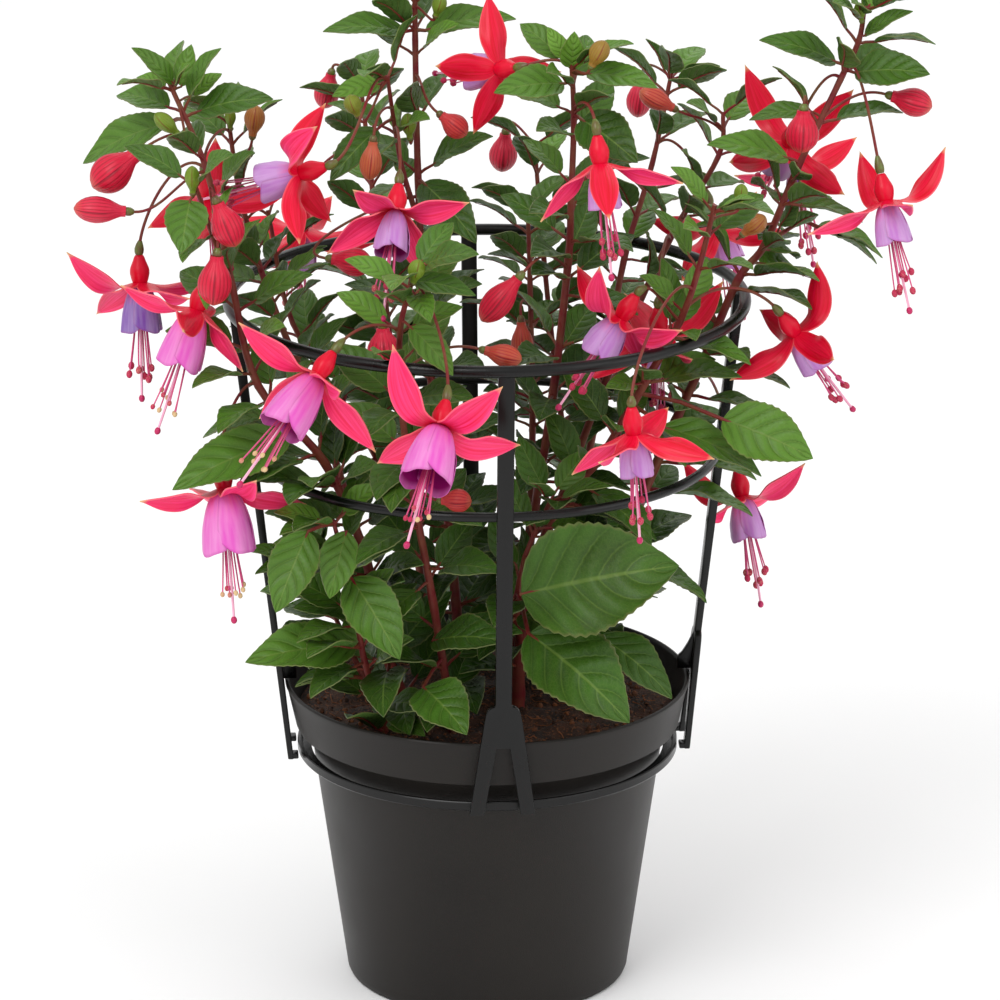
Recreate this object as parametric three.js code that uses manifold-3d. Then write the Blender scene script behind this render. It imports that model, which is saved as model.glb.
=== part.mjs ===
// Fuchsia in a nursery pot with a clip-on support cage.
// Millimetres, +Z up, origin at the middle of the pot's flat base, -Y is the front.
import * as THREE from "three";
import { mergeVertices } from "three/addons/utils/BufferGeometryUtils.js";
import Module from "manifold-3d";

const wasm = await Module();
wasm.setup();

// Driving dimensions of the pot and soil
const POT_RIM_RADIUS = 85;
const POT_RIM_HEIGHT = 131;
const POT_BASE_RADIUS = 59.6;
const POT_NECK_RADIUS = 74.5;
const POT_COLLAR_RADIUS = 80.6;
const POT_COLLAR_BOTTOM = 111.5;
const POT_WALL = 1.8;
const POT_SEGMENTS = 24;
const DRAIN_HOLES = 4;
const DRAIN_RADIUS = 5;
const DRAIN_CIRCLE_RADIUS = 40;
const SOIL_TOP = 120.5;
const SOIL_CLEARANCE = 0.6;
const HOLE_CLEARANCE = 0.5;

// Driving dimensions of the support cage
const CAGE_TURN = THREE.MathUtils.degToRad(4.4);
const CAGE_SEGMENTS = 28;
const CAGE_SIDES = 5;
const TOP_RING = { radius: 106.3, tube: 2.5, height: 295.4 };
const MID_RING = { radius: 95.3, tube: 2, height: 231.5 };
const BASE_RING = { inner: 74.2, outer: 80, bottom: 99.8, top: 103.8, plate: 1.8 };
const FOOT_BOTTOM = 99.8;
const FOOT_RADIUS = 83.4;
const HEAD_RADIUS = 104.4;
const STRIP_WIDTH = 6.6;
const STRIP_THIN = 2.4;
const STRIP_THICK = 4.4;
const SHOULDER_HEIGHT = 148;
const CROTCH_HEIGHT = 130;
const CROTCH_WIDTH = 5.6;
const FOOT_WIDTH = 27;
const PRONG_WIDTH = 6;
const GUSSET_WIDTH = 2.6;
const CLEARANCE = 0.35;
const CRADLE_CLEARANCE = 0.55;

// Proportions shared by all blooms
const TUBE_LENGTH = 11;
const FLARE_RADIUS = 3;
const FLARE_START = THREE.MathUtils.degToRad(70);
const SEPAL_WIDTH = 13;
const SEPAL_CUP = 0.36;
const SEPAL_TURN = THREE.MathUtils.degToRad(38);
const SEPAL_THICKNESS = 0.9;
const SEPAL_ROOT = -0.08;
const PETALS = 4;
const SKIRT_GAP = 0.5;
const OVARY_LENGTH = 6;
const OVARY_RADIUS = 2;

// Proportions shared by all leaves
const LEAF_THICKNESS = 0.9;
const LEAF_FOLD = 0.26;
const LEAF_WAVE = 0.1;
const LEAF_TOOTH = 0.06;
const PETIOLE_RADIUS = 0.75;

// Tries for a leaf that would cross its neighbours: swing and pitch in degrees, and size
const LEAF_TRIES = [
  [0, 0, 1], [10, 6, 1], [-10, -6, 1], [20, -12, 0.95], [-20, 12, 0.95], [0, 20, 0.9], [0, -20, 0.9],
  [34, 16, 0.85], [-34, -14, 0.85], [48, 0, 0.8], [-48, 8, 0.8], [0, 42, 0.75], [64, 20, 0.7], [-64, 20, 0.7],
];
const LEAF_GAP = 0.4;

// Colours and finishes
const finish = (color, roughness) => new THREE.MeshStandardMaterial({ color, roughness, metalness: 0 });
const POT_PLASTIC = finish(0x2b2c2e, 0.5);
const CAGE_PLASTIC = finish(0x17181a, 0.42);
const COMPOST = finish(0x4b3423, 0.95);
const FOLIAGE = finish(0x4a7436, 0.6);
const CALYX = finish(0xe8304a, 0.45);
const SKIRT = {
  lavender: finish(0xb48cd2, 0.55),
  violet: finish(0xb05fc8, 0.55),
  purple: finish(0x6d2a86, 0.55),
};

// Blooms: at = where the sepals flare, lean from straight down, heading from +X toward +Y,
// roll of the first sepal, sepal length, lift of each sepal off the axis, skirt = petal radius and length,
// shoot and axil = where the flower stalk starts
const BLOOMS = [
  { at: [5, -25, 398], lean: 76, heading: 127, roll: 28, sepal: 29, lifts: [77, 95, 45, 99],
    skirt: [7.5, 17], tint: "lavender", shoot: "upright", axil: [34, -40, 403] },
  { at: [-74, -60, 364], lean: 72, heading: 165, roll: 54, sepal: 32, lifts: [123, 91, 98, 150],
    skirt: [8, 16], tint: "lavender", shoot: "centre", axil: [-40, -20, 392] },
  { at: [-36, -68, 351], lean: 39, heading: 261, roll: 33, sepal: 31, lifts: [57, 50, 95, 83],
    skirt: [7, 18], tint: "lavender", shoot: "centre", axil: [-37, -15, 370] },
  { at: [45, -75, 372], lean: 12, heading: 302, roll: 357, sepal: 31, lifts: [42, 76, 68, 42],
    skirt: [6.5, 17], tint: "lavender", shoot: "upright", axil: [35, -38, 385] },
  { at: [124, 16, 357], lean: 46, heading: 106, roll: 44, sepal: 35, lifts: [119, 150, 122, 125],
    skirt: [7.5, 17], tint: "lavender", shoot: "right_tall", axil: [144, 0, 388] },
  { at: [162, -20, 342], lean: 20, heading: 305, roll: 74, sepal: 33, lifts: [160, 140, 87, 80],
    skirt: [7.3, 17], tint: "lavender", shoot: "right_tall", axil: [147, 0, 392] },
  { at: [126, -20, 286], lean: 37, heading: 28, roll: 162, sepal: 31, lifts: [150, 95, 107, 95],
    skirt: [7.2, 17], tint: "lavender", shoot: "right_front", axil: [81, -50, 306] },
  { at: [54, -62, 305], lean: 32, heading: 177, roll: 321, sepal: 33, lifts: [144, 101, 52, 134],
    skirt: [7.8, 17], tint: "lavender", shoot: "right_front", axil: [78, -50, 300] },
  { at: [-66, -119, 298], lean: 46, heading: 221, roll: 352, sepal: 36, lifts: [90, 50, 76, 78],
    skirt: [9.5, 25], tint: "violet", shoot: "front", axil: [-34, -98, 310] },
  { at: [-18, -141, 284], lean: 45, heading: 252, roll: 334, sepal: 37, lifts: [148, 84, 118, 112],
    skirt: [10.5, 24], tint: "violet", shoot: "front", axil: [-30, -106, 330] },
  { at: [58, -116, 273], lean: 5, heading: 16, roll: 295, sepal: 32, lifts: [97, 48, 95, 77],
    skirt: [6.8, 16], tint: "lavender", shoot: "right_front", axil: [82, -54, 314] },
  { at: [108, 42, 196], lean: 20, heading: 300, roll: 208, sepal: 32, lifts: [120, 80, 150, 100],
    skirt: [7.6, 18], tint: "lavender", shoot: "right_tall", axil: [85, -4, 258] },
  { at: [-106, -68, 235], lean: 15, heading: 290, roll: 334, sepal: 34, lifts: [94, 95, 73, 106],
    skirt: [11, 25], tint: "violet", shoot: "left_tall", axil: [-92, -58, 275] },
  { at: [-116, -64, 309], lean: 21, heading: 207, roll: 186, sepal: 29, lifts: [46, 80, 95, 95],
    skirt: [9, 23], tint: "violet", shoot: "left_tall", axil: [-104, -52, 330] },
  { at: [-141, -25, 309], lean: 10, heading: 278, roll: 325, sepal: 36, lifts: [131, 63, 95, 89],
    skirt: [8, 19], tint: "purple", shoot: "left_tall", axil: [-112, -45, 361] },
  { at: [131, 80, 331], lean: 10, heading: 20, roll: 60, sepal: 29, lifts: [92, 104, 88, 110],
    skirt: [6.8, 17], tint: "purple", shoot: "right_tall", axil: [128, 11, 324] },
  { at: [70, -24, 288], lean: 14, heading: 85, roll: 338, sepal: 33, lifts: [58, 95, 140, 110],
    skirt: [7, 16], tint: "lavender", shoot: "right_front", axil: [76, 30, 312] },
  { at: [-113, -14, 342], lean: 22, heading: 72, roll: 8, sepal: 29, lifts: [56, 120, 95, 98],
    skirt: [7, 16], tint: "lavender", shoot: "left_tall", axil: [-105, 14, 362] },
  { at: [-80, 113, 294], lean: 14, heading: 110, roll: 20, sepal: 32, lifts: [84, 96, 102, 90],
    skirt: [7.6, 18], tint: "lavender", shoot: "back_left", axil: [-51, 98, 330] },
  { at: [98, 94, 300], lean: 20, heading: 40, roll: 35, sepal: 32, lifts: [100, 88, 94, 82],
    skirt: [7.6, 18], tint: "lavender", shoot: "back_right", axil: [72, 88, 338] },
];

// Shoots: each starts with a stem from the compost, and its further stems branch off it
const SHOOTS = [
  { name: "left_tall", seed: 11, stems: [
    { radii: [2.9, 1], leaves: [48, 22], nodes: 2, points: [[-31, -28, 104], [-33, -31, 126], [-44, -45, 164],
      [-50, -45, 199], [-66, -52, 241], [-92, -58, 275], [-102, -55, 316], [-112, -45, 361], [-127, -40, 397]] },
    { radii: [1.4, 0.8], leaves: [24, 16], nodes: 1, points: [[-103, -54, 318], [-109, -68, 341], [-115, -75, 363]] },
    { radii: [1.9, 0.9], leaves: [38, 20], nodes: 1, points: [[-50, -45, 198], [-68, -18, 248], [-88, 0, 292],
      [-101, 10, 334], [-106, 15, 367]] }] },
  { name: "centre", seed: 23, stems: [
    { radii: [2.7, 1], leaves: [46, 20], nodes: 2, points: [[-10, -5, 104], [-11, -6, 128], [-13, -8, 165],
      [-17, -10, 211], [-25, -10, 284], [-28, -5, 347], [-29, 0, 404], [-29, 0, 428]] },
    { radii: [1.3, 0.8], leaves: [26, 18], nodes: 1, points: [[-28, -7, 330], [-34, -12, 352], [-37, -15, 370],
      [-40, -20, 394]] }] },
  { name: "front", seed: 37, stems: [
    { radii: [2.1, 0.9], leaves: [42, 20], nodes: 1, points: [[-14, -36, 104], [-15, -38, 126], [-22, -50, 180],
      [-30, -68, 235], [-34, -85, 277], [-34, -98, 310], [-30, -105, 329], [-29, -108, 338]] }] },
  { name: "upright", seed: 41, stems: [
    { radii: [2.5, 1], leaves: [44, 20], nodes: 2, points: [[10, 8, 104], [11, 6, 128], [17, -4, 185],
      [27, -18, 258], [33, -30, 319], [34, -35, 346], [35, -38, 380], [34, -40, 404]] },
    { radii: [1.6, 0.9], leaves: [36, 20], nodes: 1, points: [[17, -4, 184], [19, 20, 232], [18, 40, 289],
      [17, 45, 320]] }] },
  { name: "right_front", seed: 53, stems: [
    { radii: [3.2, 1], leaves: [46, 22], nodes: 2, points: [[13, -16, 104], [13, -17, 128], [15, -21, 160],
      [28, -30, 213], [47, -35, 238], [65, -42, 273], [78, -50, 300], [85, -55, 323], [91, -60, 351]] },
    { radii: [1.8, 0.9], leaves: [36, 20], nodes: 1, points: [[29, -30, 214], [50, 0, 262], [76, 30, 312],
      [96, 36, 346], [98, 40, 364]] },
    { radii: [1.7, 0.9], leaves: [38, 24], nodes: 1, points: [[14, -19, 150], [12, -33, 172], [16, -43, 198],
      [26, -50, 224]] }] },
  { name: "right_tall", seed: 67, stems: [
    { radii: [2.8, 1], leaves: [48, 22], nodes: 3, points: [[31, 20, 104], [32, 19, 126], [45, 10, 156],
      [64, 0, 208], [78, -3, 243], [89, -4, 269], [103, -4, 304], [114, -3, 319], [126, -5, 350],
      [144, 0, 388], [151, 0, 404], [153, 0, 418]] },
    { radii: [1.2, 0.8], leaves: [24, 18], nodes: 1, points: [[113, -3, 318], [121, 6, 321], [130, 12, 325]] }] },
  { name: "low_left", seed: 71, stems: [
    { radii: [1.9, 0.9], leaves: [42, 26], nodes: 1, points: [[-42, -40, 104], [-43, -42, 126], [-50, -56, 156],
      [-55, -64, 190], [-62, -70, 222]] },
    { radii: [1.4, 0.8], leaves: [36, 24], nodes: 1, points: [[-44, -44, 130], [-58, -36, 158], [-72, -28, 188]] }] },
  { name: "back_left", seed: 83, stems: [
    { radii: [2.4, 0.9], leaves: [46, 22], nodes: 2, points: [[-22, 36, 104], [-23, 38, 126], [-32, 56, 180],
      [-40, 73, 242], [-46, 84, 290], [-50, 96, 326], [-54, 102, 362]] },
    { radii: [1.5, 0.9], leaves: [36, 24], nodes: 1, points: [[-32, 56, 179], [-56, 52, 226], [-82, 50, 270],
      [-92, 54, 318]] }] },
  { name: "back_right", seed: 97, stems: [
    { radii: [2.4, 0.9], leaves: [46, 22], nodes: 2, points: [[28, 42, 104], [29, 44, 126], [38, 58, 180],
      [50, 70, 242], [58, 76, 290], [70, 86, 330], [78, 92, 368]] },
    { radii: [1.5, 0.9], leaves: [36, 22], nodes: 1, points: [[38, 58, 179], [30, 70, 235], [24, 82, 290],
      [20, 92, 338]] }] },
];

// Leaves seen best from the front: shoot, blade base, blade tip, width share, turn to the front
const SHOWN_LEAVES = [
  ["right_front", [14, -66, 189], [78, -71, 203], 0.7, 0.85],
  ["right_front", [17, -60, 170], [58, -84, 140], 0.62, 0.6],
  ["right_front", [46, -46, 164], [76, -58, 141], 0.5, 0.4],
  ["right_front", [71, -46, 254], [112, -46, 233], 0.4, 0.3],
  ["right_front", [93, -44, 250], [126, -54, 229], 0.6, 0.75],
  ["low_left", [-72, -72, 218], [-85, -86, 188], 0.55, 0.7],
  ["low_left", [-56, -70, 216], [-73, -84, 196], 0.55, 0.7],
  ["low_left", [-55, -66, 196], [-35, -86, 168], 0.55, 0.7],
  ["low_left", [-54, -60, 164], [-98, -78, 164], 0.5, 0.5],
  ["front", [-22, -52, 164], [8, -76, 172], 0.5, 0.5],
  ["front", [-26, -64, 148], [-8, -92, 138], 0.65, 0.6],
  ["left_tall", [-81, -58, 253], [-131, -70, 240], 0.42, 0.6],
  ["left_tall", [-128, -26, 376], [-164, -14, 356], 0.42, 0.5],
  ["left_tall", [-116, -40, 384], [-85, -46, 391], 0.5, 0.5],
  ["left_tall", [-125, -41, 396], [-141, -46, 412], 0.4, 0.5],
  ["left_tall", [-117, -79, 358], [-120, -96, 341], 0.7, 0.9],
  ["centre", [-33, -2, 408], [-66, -14, 411], 0.4, 0.4],
  ["centre", [-25, 0, 408], [12, 8, 411], 0.4, 0.4],
  ["centre", [-43, -22, 391], [-62, -30, 388], 0.5, 0.6],
  ["centre", [-44, -24, 373], [-63, -38, 355], 0.45, 0.6],
  ["centre", [-26, -10, 347], [-4, -38, 329], 0.45, 0.6],
  ["upright", [31, -41, 396], [3, -56, 396], 0.5, 0.6],
  ["upright", [40, -41, 400], [68, -56, 398], 0.4, 0.5],
  ["upright", [38, -44, 382], [60, -66, 370], 0.6, 0.8],
  ["right_tall", [142, -1, 395], [110, -12, 407], 0.4, 0.5],
  ["right_tall", [149, -1, 390], [178, -14, 386], 0.55, 0.6],
  ["right_tall", [153, -1, 406], [172, -8, 418], 0.4, 0.4],
  ["right_tall", [132, 1, 374], [107, 3, 370], 0.4, 0.4],
  ["right_tall", [123, -6, 356], [89, -22, 366], 0.4, 0.5],
  ["front", [-30, -103, 313], [-13, -110, 295], 0.5, 0.5],
  ["front", [-29, -111, 334], [-4, -114, 329], 0.4, 0.5],
];

// Buds: shoot, axil, top and tip of the bud, radius
const BUDS = [
  ["left_tall", [-118, -43, 376], [-138, -42, 369], [-158, -44, 354], 7.4],
  ["left_tall", [-112, -45, 361], [-141, -52, 346], [-165, -54, 348], 5.3],
  ["left_tall", [-109, -60, 334], [-107, -84, 361], [-99, -86, 341], 6.3],
  ["left_tall", [-109, -68, 341], [-106, -88, 341], [-108, -90, 318], 6.5],
  ["left_tall", [-103, 12, 345], [-96, 5, 361], [-94, 3, 376], 4.1],
  ["centre", [-28, -6, 340], [-65, -42, 324], [-46, -44, 322], 5.7],
  ["centre", [-27, -10, 300], [-42, -48, 299], [-41, -50, 281], 6.5],
  ["centre", [-38, -17, 380], [-45, -46, 376], [-47, -48, 358], 4.3],
  ["centre", [-40, -20, 392], [-51, -38, 381], [-55, -40, 391], 3.5],
  ["centre", [-29, -1, 390], [-20, -20, 379], [-8, -22, 370], 4.7],
  ["front", [-34, -90, 290], [-3, -93, 301], [14, -95, 297], 4.5],
  ["front", [-30, -68, 236], [-20, -80, 234], [-6, -82, 234], 4.7],
  ["upright", [33, -30, 316], [15, -62, 324], [-2, -64, 304], 5.7],
  ["upright", [34, -40, 400], [41, -54, 405], [47, -56, 417], 3.9],
  ["upright", [17, 36, 280], [14, 10, 285], [15, 8, 265], 4.5],
  ["right_tall", [136, -2, 372], [162, -2, 382], [181, -4, 377], 5.7],
  ["right_tall", [132, -4, 362], [128, -22, 383], [127, -24, 363], 6.5],
  ["right_tall", [117, -3, 328], [103, -20, 327], [113, -22, 336], 4.1],
  ["right_front", [97, 38, 356], [79, 30, 367], [63, 28, 376], 4.5],
  ["back_left", [-54, 102, 360], [-66, 108, 366], [-70, 110, 348], 5.2],
  ["back_right", [78, 92, 366], [66, 108, 364], [64, 110, 344], 5.2],
  ["back_right", [20, 92, 336], [8, 108, 340], [6, 110, 320], 5.8],
];

const vec = (values) => new THREE.Vector3(...values);
const radians = THREE.MathUtils.degToRad;

// Turns a closed geometry into a solid that can be joined and cut
function solidOf(geometry) {
  const bare = geometry.index ? geometry.clone() : geometry;
  for (const name of Object.keys(bare.attributes)) {
    if (name !== "position") bare.deleteAttribute(name);
  }
  const merged = mergeVertices(bare, 1e-4);
  const mesh = new wasm.Mesh({
    numProp: 3,
    vertProperties: Float32Array.from(merged.attributes.position.array),
    triVerts: Uint32Array.from(merged.index.array),
  });
  return new wasm.Manifold(mesh);
}

// Turns a solid back into a geometry
function geometryOf(solid) {
  const mesh = solid.getMesh();
  const geometry = new THREE.BufferGeometry();
  geometry.setAttribute("position", new THREE.BufferAttribute(Float32Array.from(mesh.vertProperties), 3));
  geometry.setIndex(new THREE.BufferAttribute(Uint32Array.from(mesh.triVerts), 1));
  geometry.computeVertexNormals();
  return geometry;
}

// Seeded random numbers from 0 to 1
function randomFrom(seed) {
  let state = seed >>> 0;
  return () => {
    state = (state + 0x6d2b79f5) >>> 0;
    let mixed = state;
    mixed = Math.imul(mixed ^ (mixed >>> 15), mixed | 1);
    mixed ^= mixed + Math.imul(mixed ^ (mixed >>> 7), mixed | 61);
    return ((mixed ^ (mixed >>> 14)) >>> 0) / 4294967296;
  };
}

// A lathe turned about Z from points given as [radius, height]
function turned(points, segments) {
  const profile = points.map(([radius, height]) => new THREE.Vector2(radius, height));
  return new THREE.LatheGeometry(profile, segments).rotateX(Math.PI / 2);
}

// Round rod of changing radius along a curve: a straight lathe bent along the curve
function rod(curve, stations, sides) {
  const last = stations.length - 1;
  const profile = stations.map(([, radius], index) => new THREE.Vector2(radius, index));
  profile.unshift(new THREE.Vector2(0, 0));
  profile.push(new THREE.Vector2(0, last));
  const frames = [];
  let side = null;
  for (const [t] of stations) {
    const along = curve.getTangent(Math.min(Math.max(t, 0), 1));
    if (!side) side = Math.abs(along.x) < 0.9 ? new THREE.Vector3(1, 0, 0) : new THREE.Vector3(0, 1, 0);
    side = side.clone().addScaledVector(along, -side.dot(along)).normalize();
    frames.push({ centre: curve.getPoint(t), side, across: new THREE.Vector3().crossVectors(side, along) });
  }
  const geometry = new THREE.LatheGeometry(profile, sides);
  const position = geometry.attributes.position;
  for (let index = 0; index < position.count; index += 1) {
    const frame = frames[Math.round(position.getY(index))];
    const point = frame.centre.clone();
    point.addScaledVector(frame.side, position.getX(index));
    point.addScaledVector(frame.across, position.getZ(index));
    position.setXYZ(index, point.x, point.y, point.z);
  }
  return geometry;
}

// Thin closed blade with sharp edges. place(s, v) gives the middle surface and lift(s) its half thickness;
// the rim has more points than the rib, and both faces are split into triangles alike.
// With a stalk, the blade's root widens out of a four-sided stalk that starts at stalk.from
function blade({ place, lift, first = 0, rimCount, ribCount, rimOf = () => 1, stalk = null }) {
  const points = [];
  const add = (point) => points.push(point) - 1;
  const at = (count, index) => first + ((1 - first) * index) / (count + 1);
  const rows = { left: [], right: [], upper: [], lower: [] };
  const faces = [];
  if (stalk) {
    const normal = surfaceNormal(place, 0.05);
    const across = new THREE.Vector3().crossVectors(normal, place(0.05, 0).sub(place(0, 0))).normalize();
    const corners = { left: [across, 1], upper: [normal, 1], right: [across, -1], lower: [normal, -1] };
    const names = Object.keys(corners);
    const rings = [stalk.from, place(0, 0)].map((centre) => names.map((name) => {
      const [direction, sign] = corners[name];
      return add(centre.clone().addScaledVector(direction, sign * stalk.radius));
    }));
    names.forEach((name, index) => {
      rows[name].push([first, rings[1][index]]);
      const next = (index + 1) % names.length;
      faces.push([rings[0][index], rings[1][next], rings[1][index]]);
      faces.push([rings[0][index], rings[0][next], rings[1][next]]);
    });
    faces.push([rings[0][0], rings[0][2], rings[0][1]], [rings[0][0], rings[0][3], rings[0][2]]);
  } else {
    const root = add(place(first, 0));
    for (const row of Object.values(rows)) row.push([first, root]);
  }
  for (let index = 1; index <= rimCount; index += 1) {
    const s = at(rimCount, index);
    rows.left.push([s, add(place(s, -rimOf(index)))]);
    rows.right.push([s, add(place(s, rimOf(index)))]);
  }
  for (let index = 1; index <= ribCount; index += 1) {
    const s = at(ribCount, index);
    const normal = surfaceNormal(place, s);
    rows.upper.push([s, add(place(s, 0).addScaledVector(normal, lift(s)))]);
    rows.lower.push([s, add(place(s, 0).addScaledVector(normal, -lift(s)))]);
  }
  const tip = add(place(1, 0));
  for (const row of Object.values(rows)) row.push([1, tip]);
  faces.push(
    ...zip(rows.upper, rows.right, false),
    ...zip(rows.upper, rows.left, true),
    ...zip(rows.lower, rows.right, true),
    ...zip(rows.lower, rows.left, false),
  );
  const geometry = new THREE.BufferGeometry().setFromPoints(points);
  geometry.setIndex(faces.flat());
  return geometry;
}

function surfaceNormal(place, s) {
  const step = 0.01;
  const along = place(Math.min(s + step, 1), 0).sub(place(s - step, 0));
  const across = place(s, step).sub(place(s, -step));
  return new THREE.Vector3().crossVectors(across, along).normalize();
}

// Triangles between two rows of [s, vertex] that share their first and last vertex
function zip(rowA, rowB, flipped) {
  const faces = [];
  let a = 0;
  let b = 0;
  const push = (p, q, r) => {
    if (p !== q && q !== r && p !== r) faces.push(flipped ? [p, r, q] : [p, q, r]);
  };
  while (a < rowA.length - 1 || b < rowB.length - 1) {
    const nextA = a < rowA.length - 1 ? rowA[a + 1][0] : Infinity;
    const nextB = b < rowB.length - 1 ? rowB[b + 1][0] : Infinity;
    if (nextA <= nextB) {
      push(rowA[a][1], rowB[b][1], rowA[a + 1][1]);
      a += 1;
    } else {
      push(rowA[a][1], rowB[b][1], rowB[b + 1][1]);
      b += 1;
    }
  }
  return faces;
}

// Nursery pot: tapered body, stepped collar, flat base with drain holes
function buildPot() {
  const outline = [
    [0, 0], [POT_BASE_RADIUS - 3, 0], [POT_BASE_RADIUS, 4],
    [POT_NECK_RADIUS, POT_COLLAR_BOTTOM - 1.5], [POT_COLLAR_RADIUS, POT_COLLAR_BOTTOM],
    [POT_RIM_RADIUS, POT_RIM_HEIGHT], [POT_RIM_RADIUS - POT_WALL, POT_RIM_HEIGHT],
    [POT_COLLAR_RADIUS - POT_WALL, POT_COLLAR_BOTTOM + POT_WALL],
    [POT_NECK_RADIUS - POT_WALL, POT_COLLAR_BOTTOM - 1.5 + POT_WALL],
    [POT_BASE_RADIUS - POT_WALL, 5], [POT_BASE_RADIUS - 4, POT_WALL], [0, POT_WALL],
  ];
  let pot = solidOf(turned(outline, POT_SEGMENTS));
  for (let index = 0; index < DRAIN_HOLES; index += 1) {
    const angle = (index * 2 * Math.PI) / DRAIN_HOLES;
    const drill = new THREE.CylinderGeometry(DRAIN_RADIUS, DRAIN_RADIUS, 3 * POT_WALL, 8).rotateX(Math.PI / 2);
    drill.translate(Math.cos(angle) * DRAIN_CIRCLE_RADIUS, Math.sin(angle) * DRAIN_CIRCLE_RADIUS, POT_WALL / 2);
    pot = pot.subtract(solidOf(drill));
  }
  return pot;
}

// Height of the compost's crumbly top above its mean level
function soilBump(x, y) {
  return 1.3 * Math.sin(x * 0.21 + 1) * Math.cos(y * 0.17) + 0.9 * Math.sin(x * 0.07 - y * 0.31);
}

function buildSoil(stemHoles) {
  const gap = POT_WALL + SOIL_CLEARANCE;
  const collarSlope = (POT_RIM_RADIUS - POT_COLLAR_RADIUS) / (POT_RIM_HEIGHT - POT_COLLAR_BOTTOM);
  const topRadius = POT_COLLAR_RADIUS - gap + (SOIL_TOP - 3 - POT_COLLAR_BOTTOM) * collarSlope;
  const outline = [
    [0, POT_WALL + SOIL_CLEARANCE], [POT_BASE_RADIUS - 5, POT_WALL + SOIL_CLEARANCE],
    [POT_BASE_RADIUS - gap, 6], [POT_NECK_RADIUS - gap, POT_COLLAR_BOTTOM + 0.8],
    [topRadius - 1, POT_COLLAR_BOTTOM + 2.6], [topRadius, SOIL_TOP - 2],
    [46, SOIL_TOP], [0, SOIL_TOP],
  ];
  const geometry = turned(outline, POT_SEGMENTS);
  const position = geometry.attributes.position;
  for (let index = 0; index < position.count; index += 1) {
    if (position.getZ(index) > SOIL_TOP - 1) {
      const bump = soilBump(position.getX(index), position.getY(index));
      position.setZ(index, position.getZ(index) + bump);
    }
  }
  let soil = solidOf(geometry);
  for (const hole of stemHoles) {
    soil = soil.subtract(hole);
  }
  return soil;
}

function buildRoundRing({ radius, tube, height }) {
  return new THREE.TorusGeometry(radius, tube, CAGE_SIDES, CAGE_SEGMENTS).translate(0, 0, height);
}

// Clamp ring with a raised lip, under the pot's collar
function buildBaseRing() {
  const { inner, outer, bottom, top, plate } = BASE_RING;
  const outline = [
    [inner, bottom], [outer, bottom], [outer, top], [outer - plate, top],
    [outer - plate, bottom + plate], [inner, bottom + plate], [inner, bottom],
  ];
  return turned(outline, CAGE_SEGMENTS);
}

// Radius of an upright's middle at a height
function uprightRadius(height) {
  const share = (height - FOOT_BOTTOM) / (TOP_RING.height - FOOT_BOTTOM);
  return FOOT_RADIUS + (HEAD_RADIUS - FOOT_RADIUS) * share;
}

// Upright strip: forked foot with inward tabs, gusset over the pot's rim, cradles for the two round rings
function buildUpright() {
  const half = STRIP_WIDTH / 2;
  const foot = FOOT_WIDTH / 2;
  const shape = new THREE.Shape();
  shape.moveTo(-foot, FOOT_BOTTOM);
  shape.lineTo(-foot + PRONG_WIDTH, FOOT_BOTTOM);
  shape.lineTo(-CROTCH_WIDTH / 2, CROTCH_HEIGHT);
  shape.lineTo(CROTCH_WIDTH / 2, CROTCH_HEIGHT);
  shape.lineTo(foot - PRONG_WIDTH, FOOT_BOTTOM);
  shape.lineTo(foot, FOOT_BOTTOM);
  shape.lineTo(half + 4.8, SHOULDER_HEIGHT - 6);
  shape.lineTo(half + 3, SHOULDER_HEIGHT - 1);
  shape.lineTo(half, SHOULDER_HEIGHT + 1);
  shape.lineTo(half, TOP_RING.height);
  shape.lineTo(-half, TOP_RING.height);
  shape.lineTo(-half, SHOULDER_HEIGHT + 1);
  shape.lineTo(-half - 3, SHOULDER_HEIGHT - 1);
  shape.lineTo(-half - 4.8, SHOULDER_HEIGHT - 6);
  const geometry = new THREE.ExtrudeGeometry(shape, { depth: 1, bevelEnabled: false });
  const position = geometry.attributes.position;
  for (let index = 0; index < position.count; index += 1) {
    const height = position.getY(index);
    const share = (height - FOOT_BOTTOM) / (TOP_RING.height - FOOT_BOTTOM);
    const thick = STRIP_THIN + (STRIP_THICK - STRIP_THIN) * share;
    const radius = uprightRadius(height) + (position.getZ(index) - 0.5) * thick;
    position.setXYZ(index, radius, position.getX(index), height);
  }
  let upright = solidOf(geometry);
  for (const sideSign of [-1, 1]) {
    const tabLength = FOOT_RADIUS - BASE_RING.outer - CLEARANCE;
    const tab = new THREE.BoxGeometry(tabLength, PRONG_WIDTH - 0.8, STRIP_THIN);
    const tabMiddle = FOOT_RADIUS - tabLength / 2;
    tab.translate(tabMiddle, sideSign * (foot - PRONG_WIDTH / 2), FOOT_BOTTOM + STRIP_THIN / 2 + 0.1);
    upright = upright.add(solidOf(tab));
  }
  const hook = new THREE.Shape();
  const rimTop = POT_RIM_HEIGHT + CLEARANCE;
  hook.moveTo(POT_RIM_RADIUS - 5, rimTop);
  hook.lineTo(uprightRadius(rimTop), rimTop);
  hook.lineTo(uprightRadius(SHOULDER_HEIGHT + 4), SHOULDER_HEIGHT + 4);
  hook.lineTo(POT_RIM_RADIUS - 5, rimTop + 3);
  const gusset = new THREE.ExtrudeGeometry(hook, { depth: GUSSET_WIDTH, bevelEnabled: false });
  gusset.translate(0, 0, -GUSSET_WIDTH / 2).rotateX(Math.PI / 2);
  upright = upright.add(solidOf(gusset));
  for (const ring of [TOP_RING, MID_RING]) {
    upright = upright.subtract(solidOf(buildRoundRing({ ...ring, tube: ring.tube + CRADLE_CLEARANCE })));
  }
  return upright.decompose().sort((a, b) => b.volume() - a.volume())[0];
}

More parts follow.
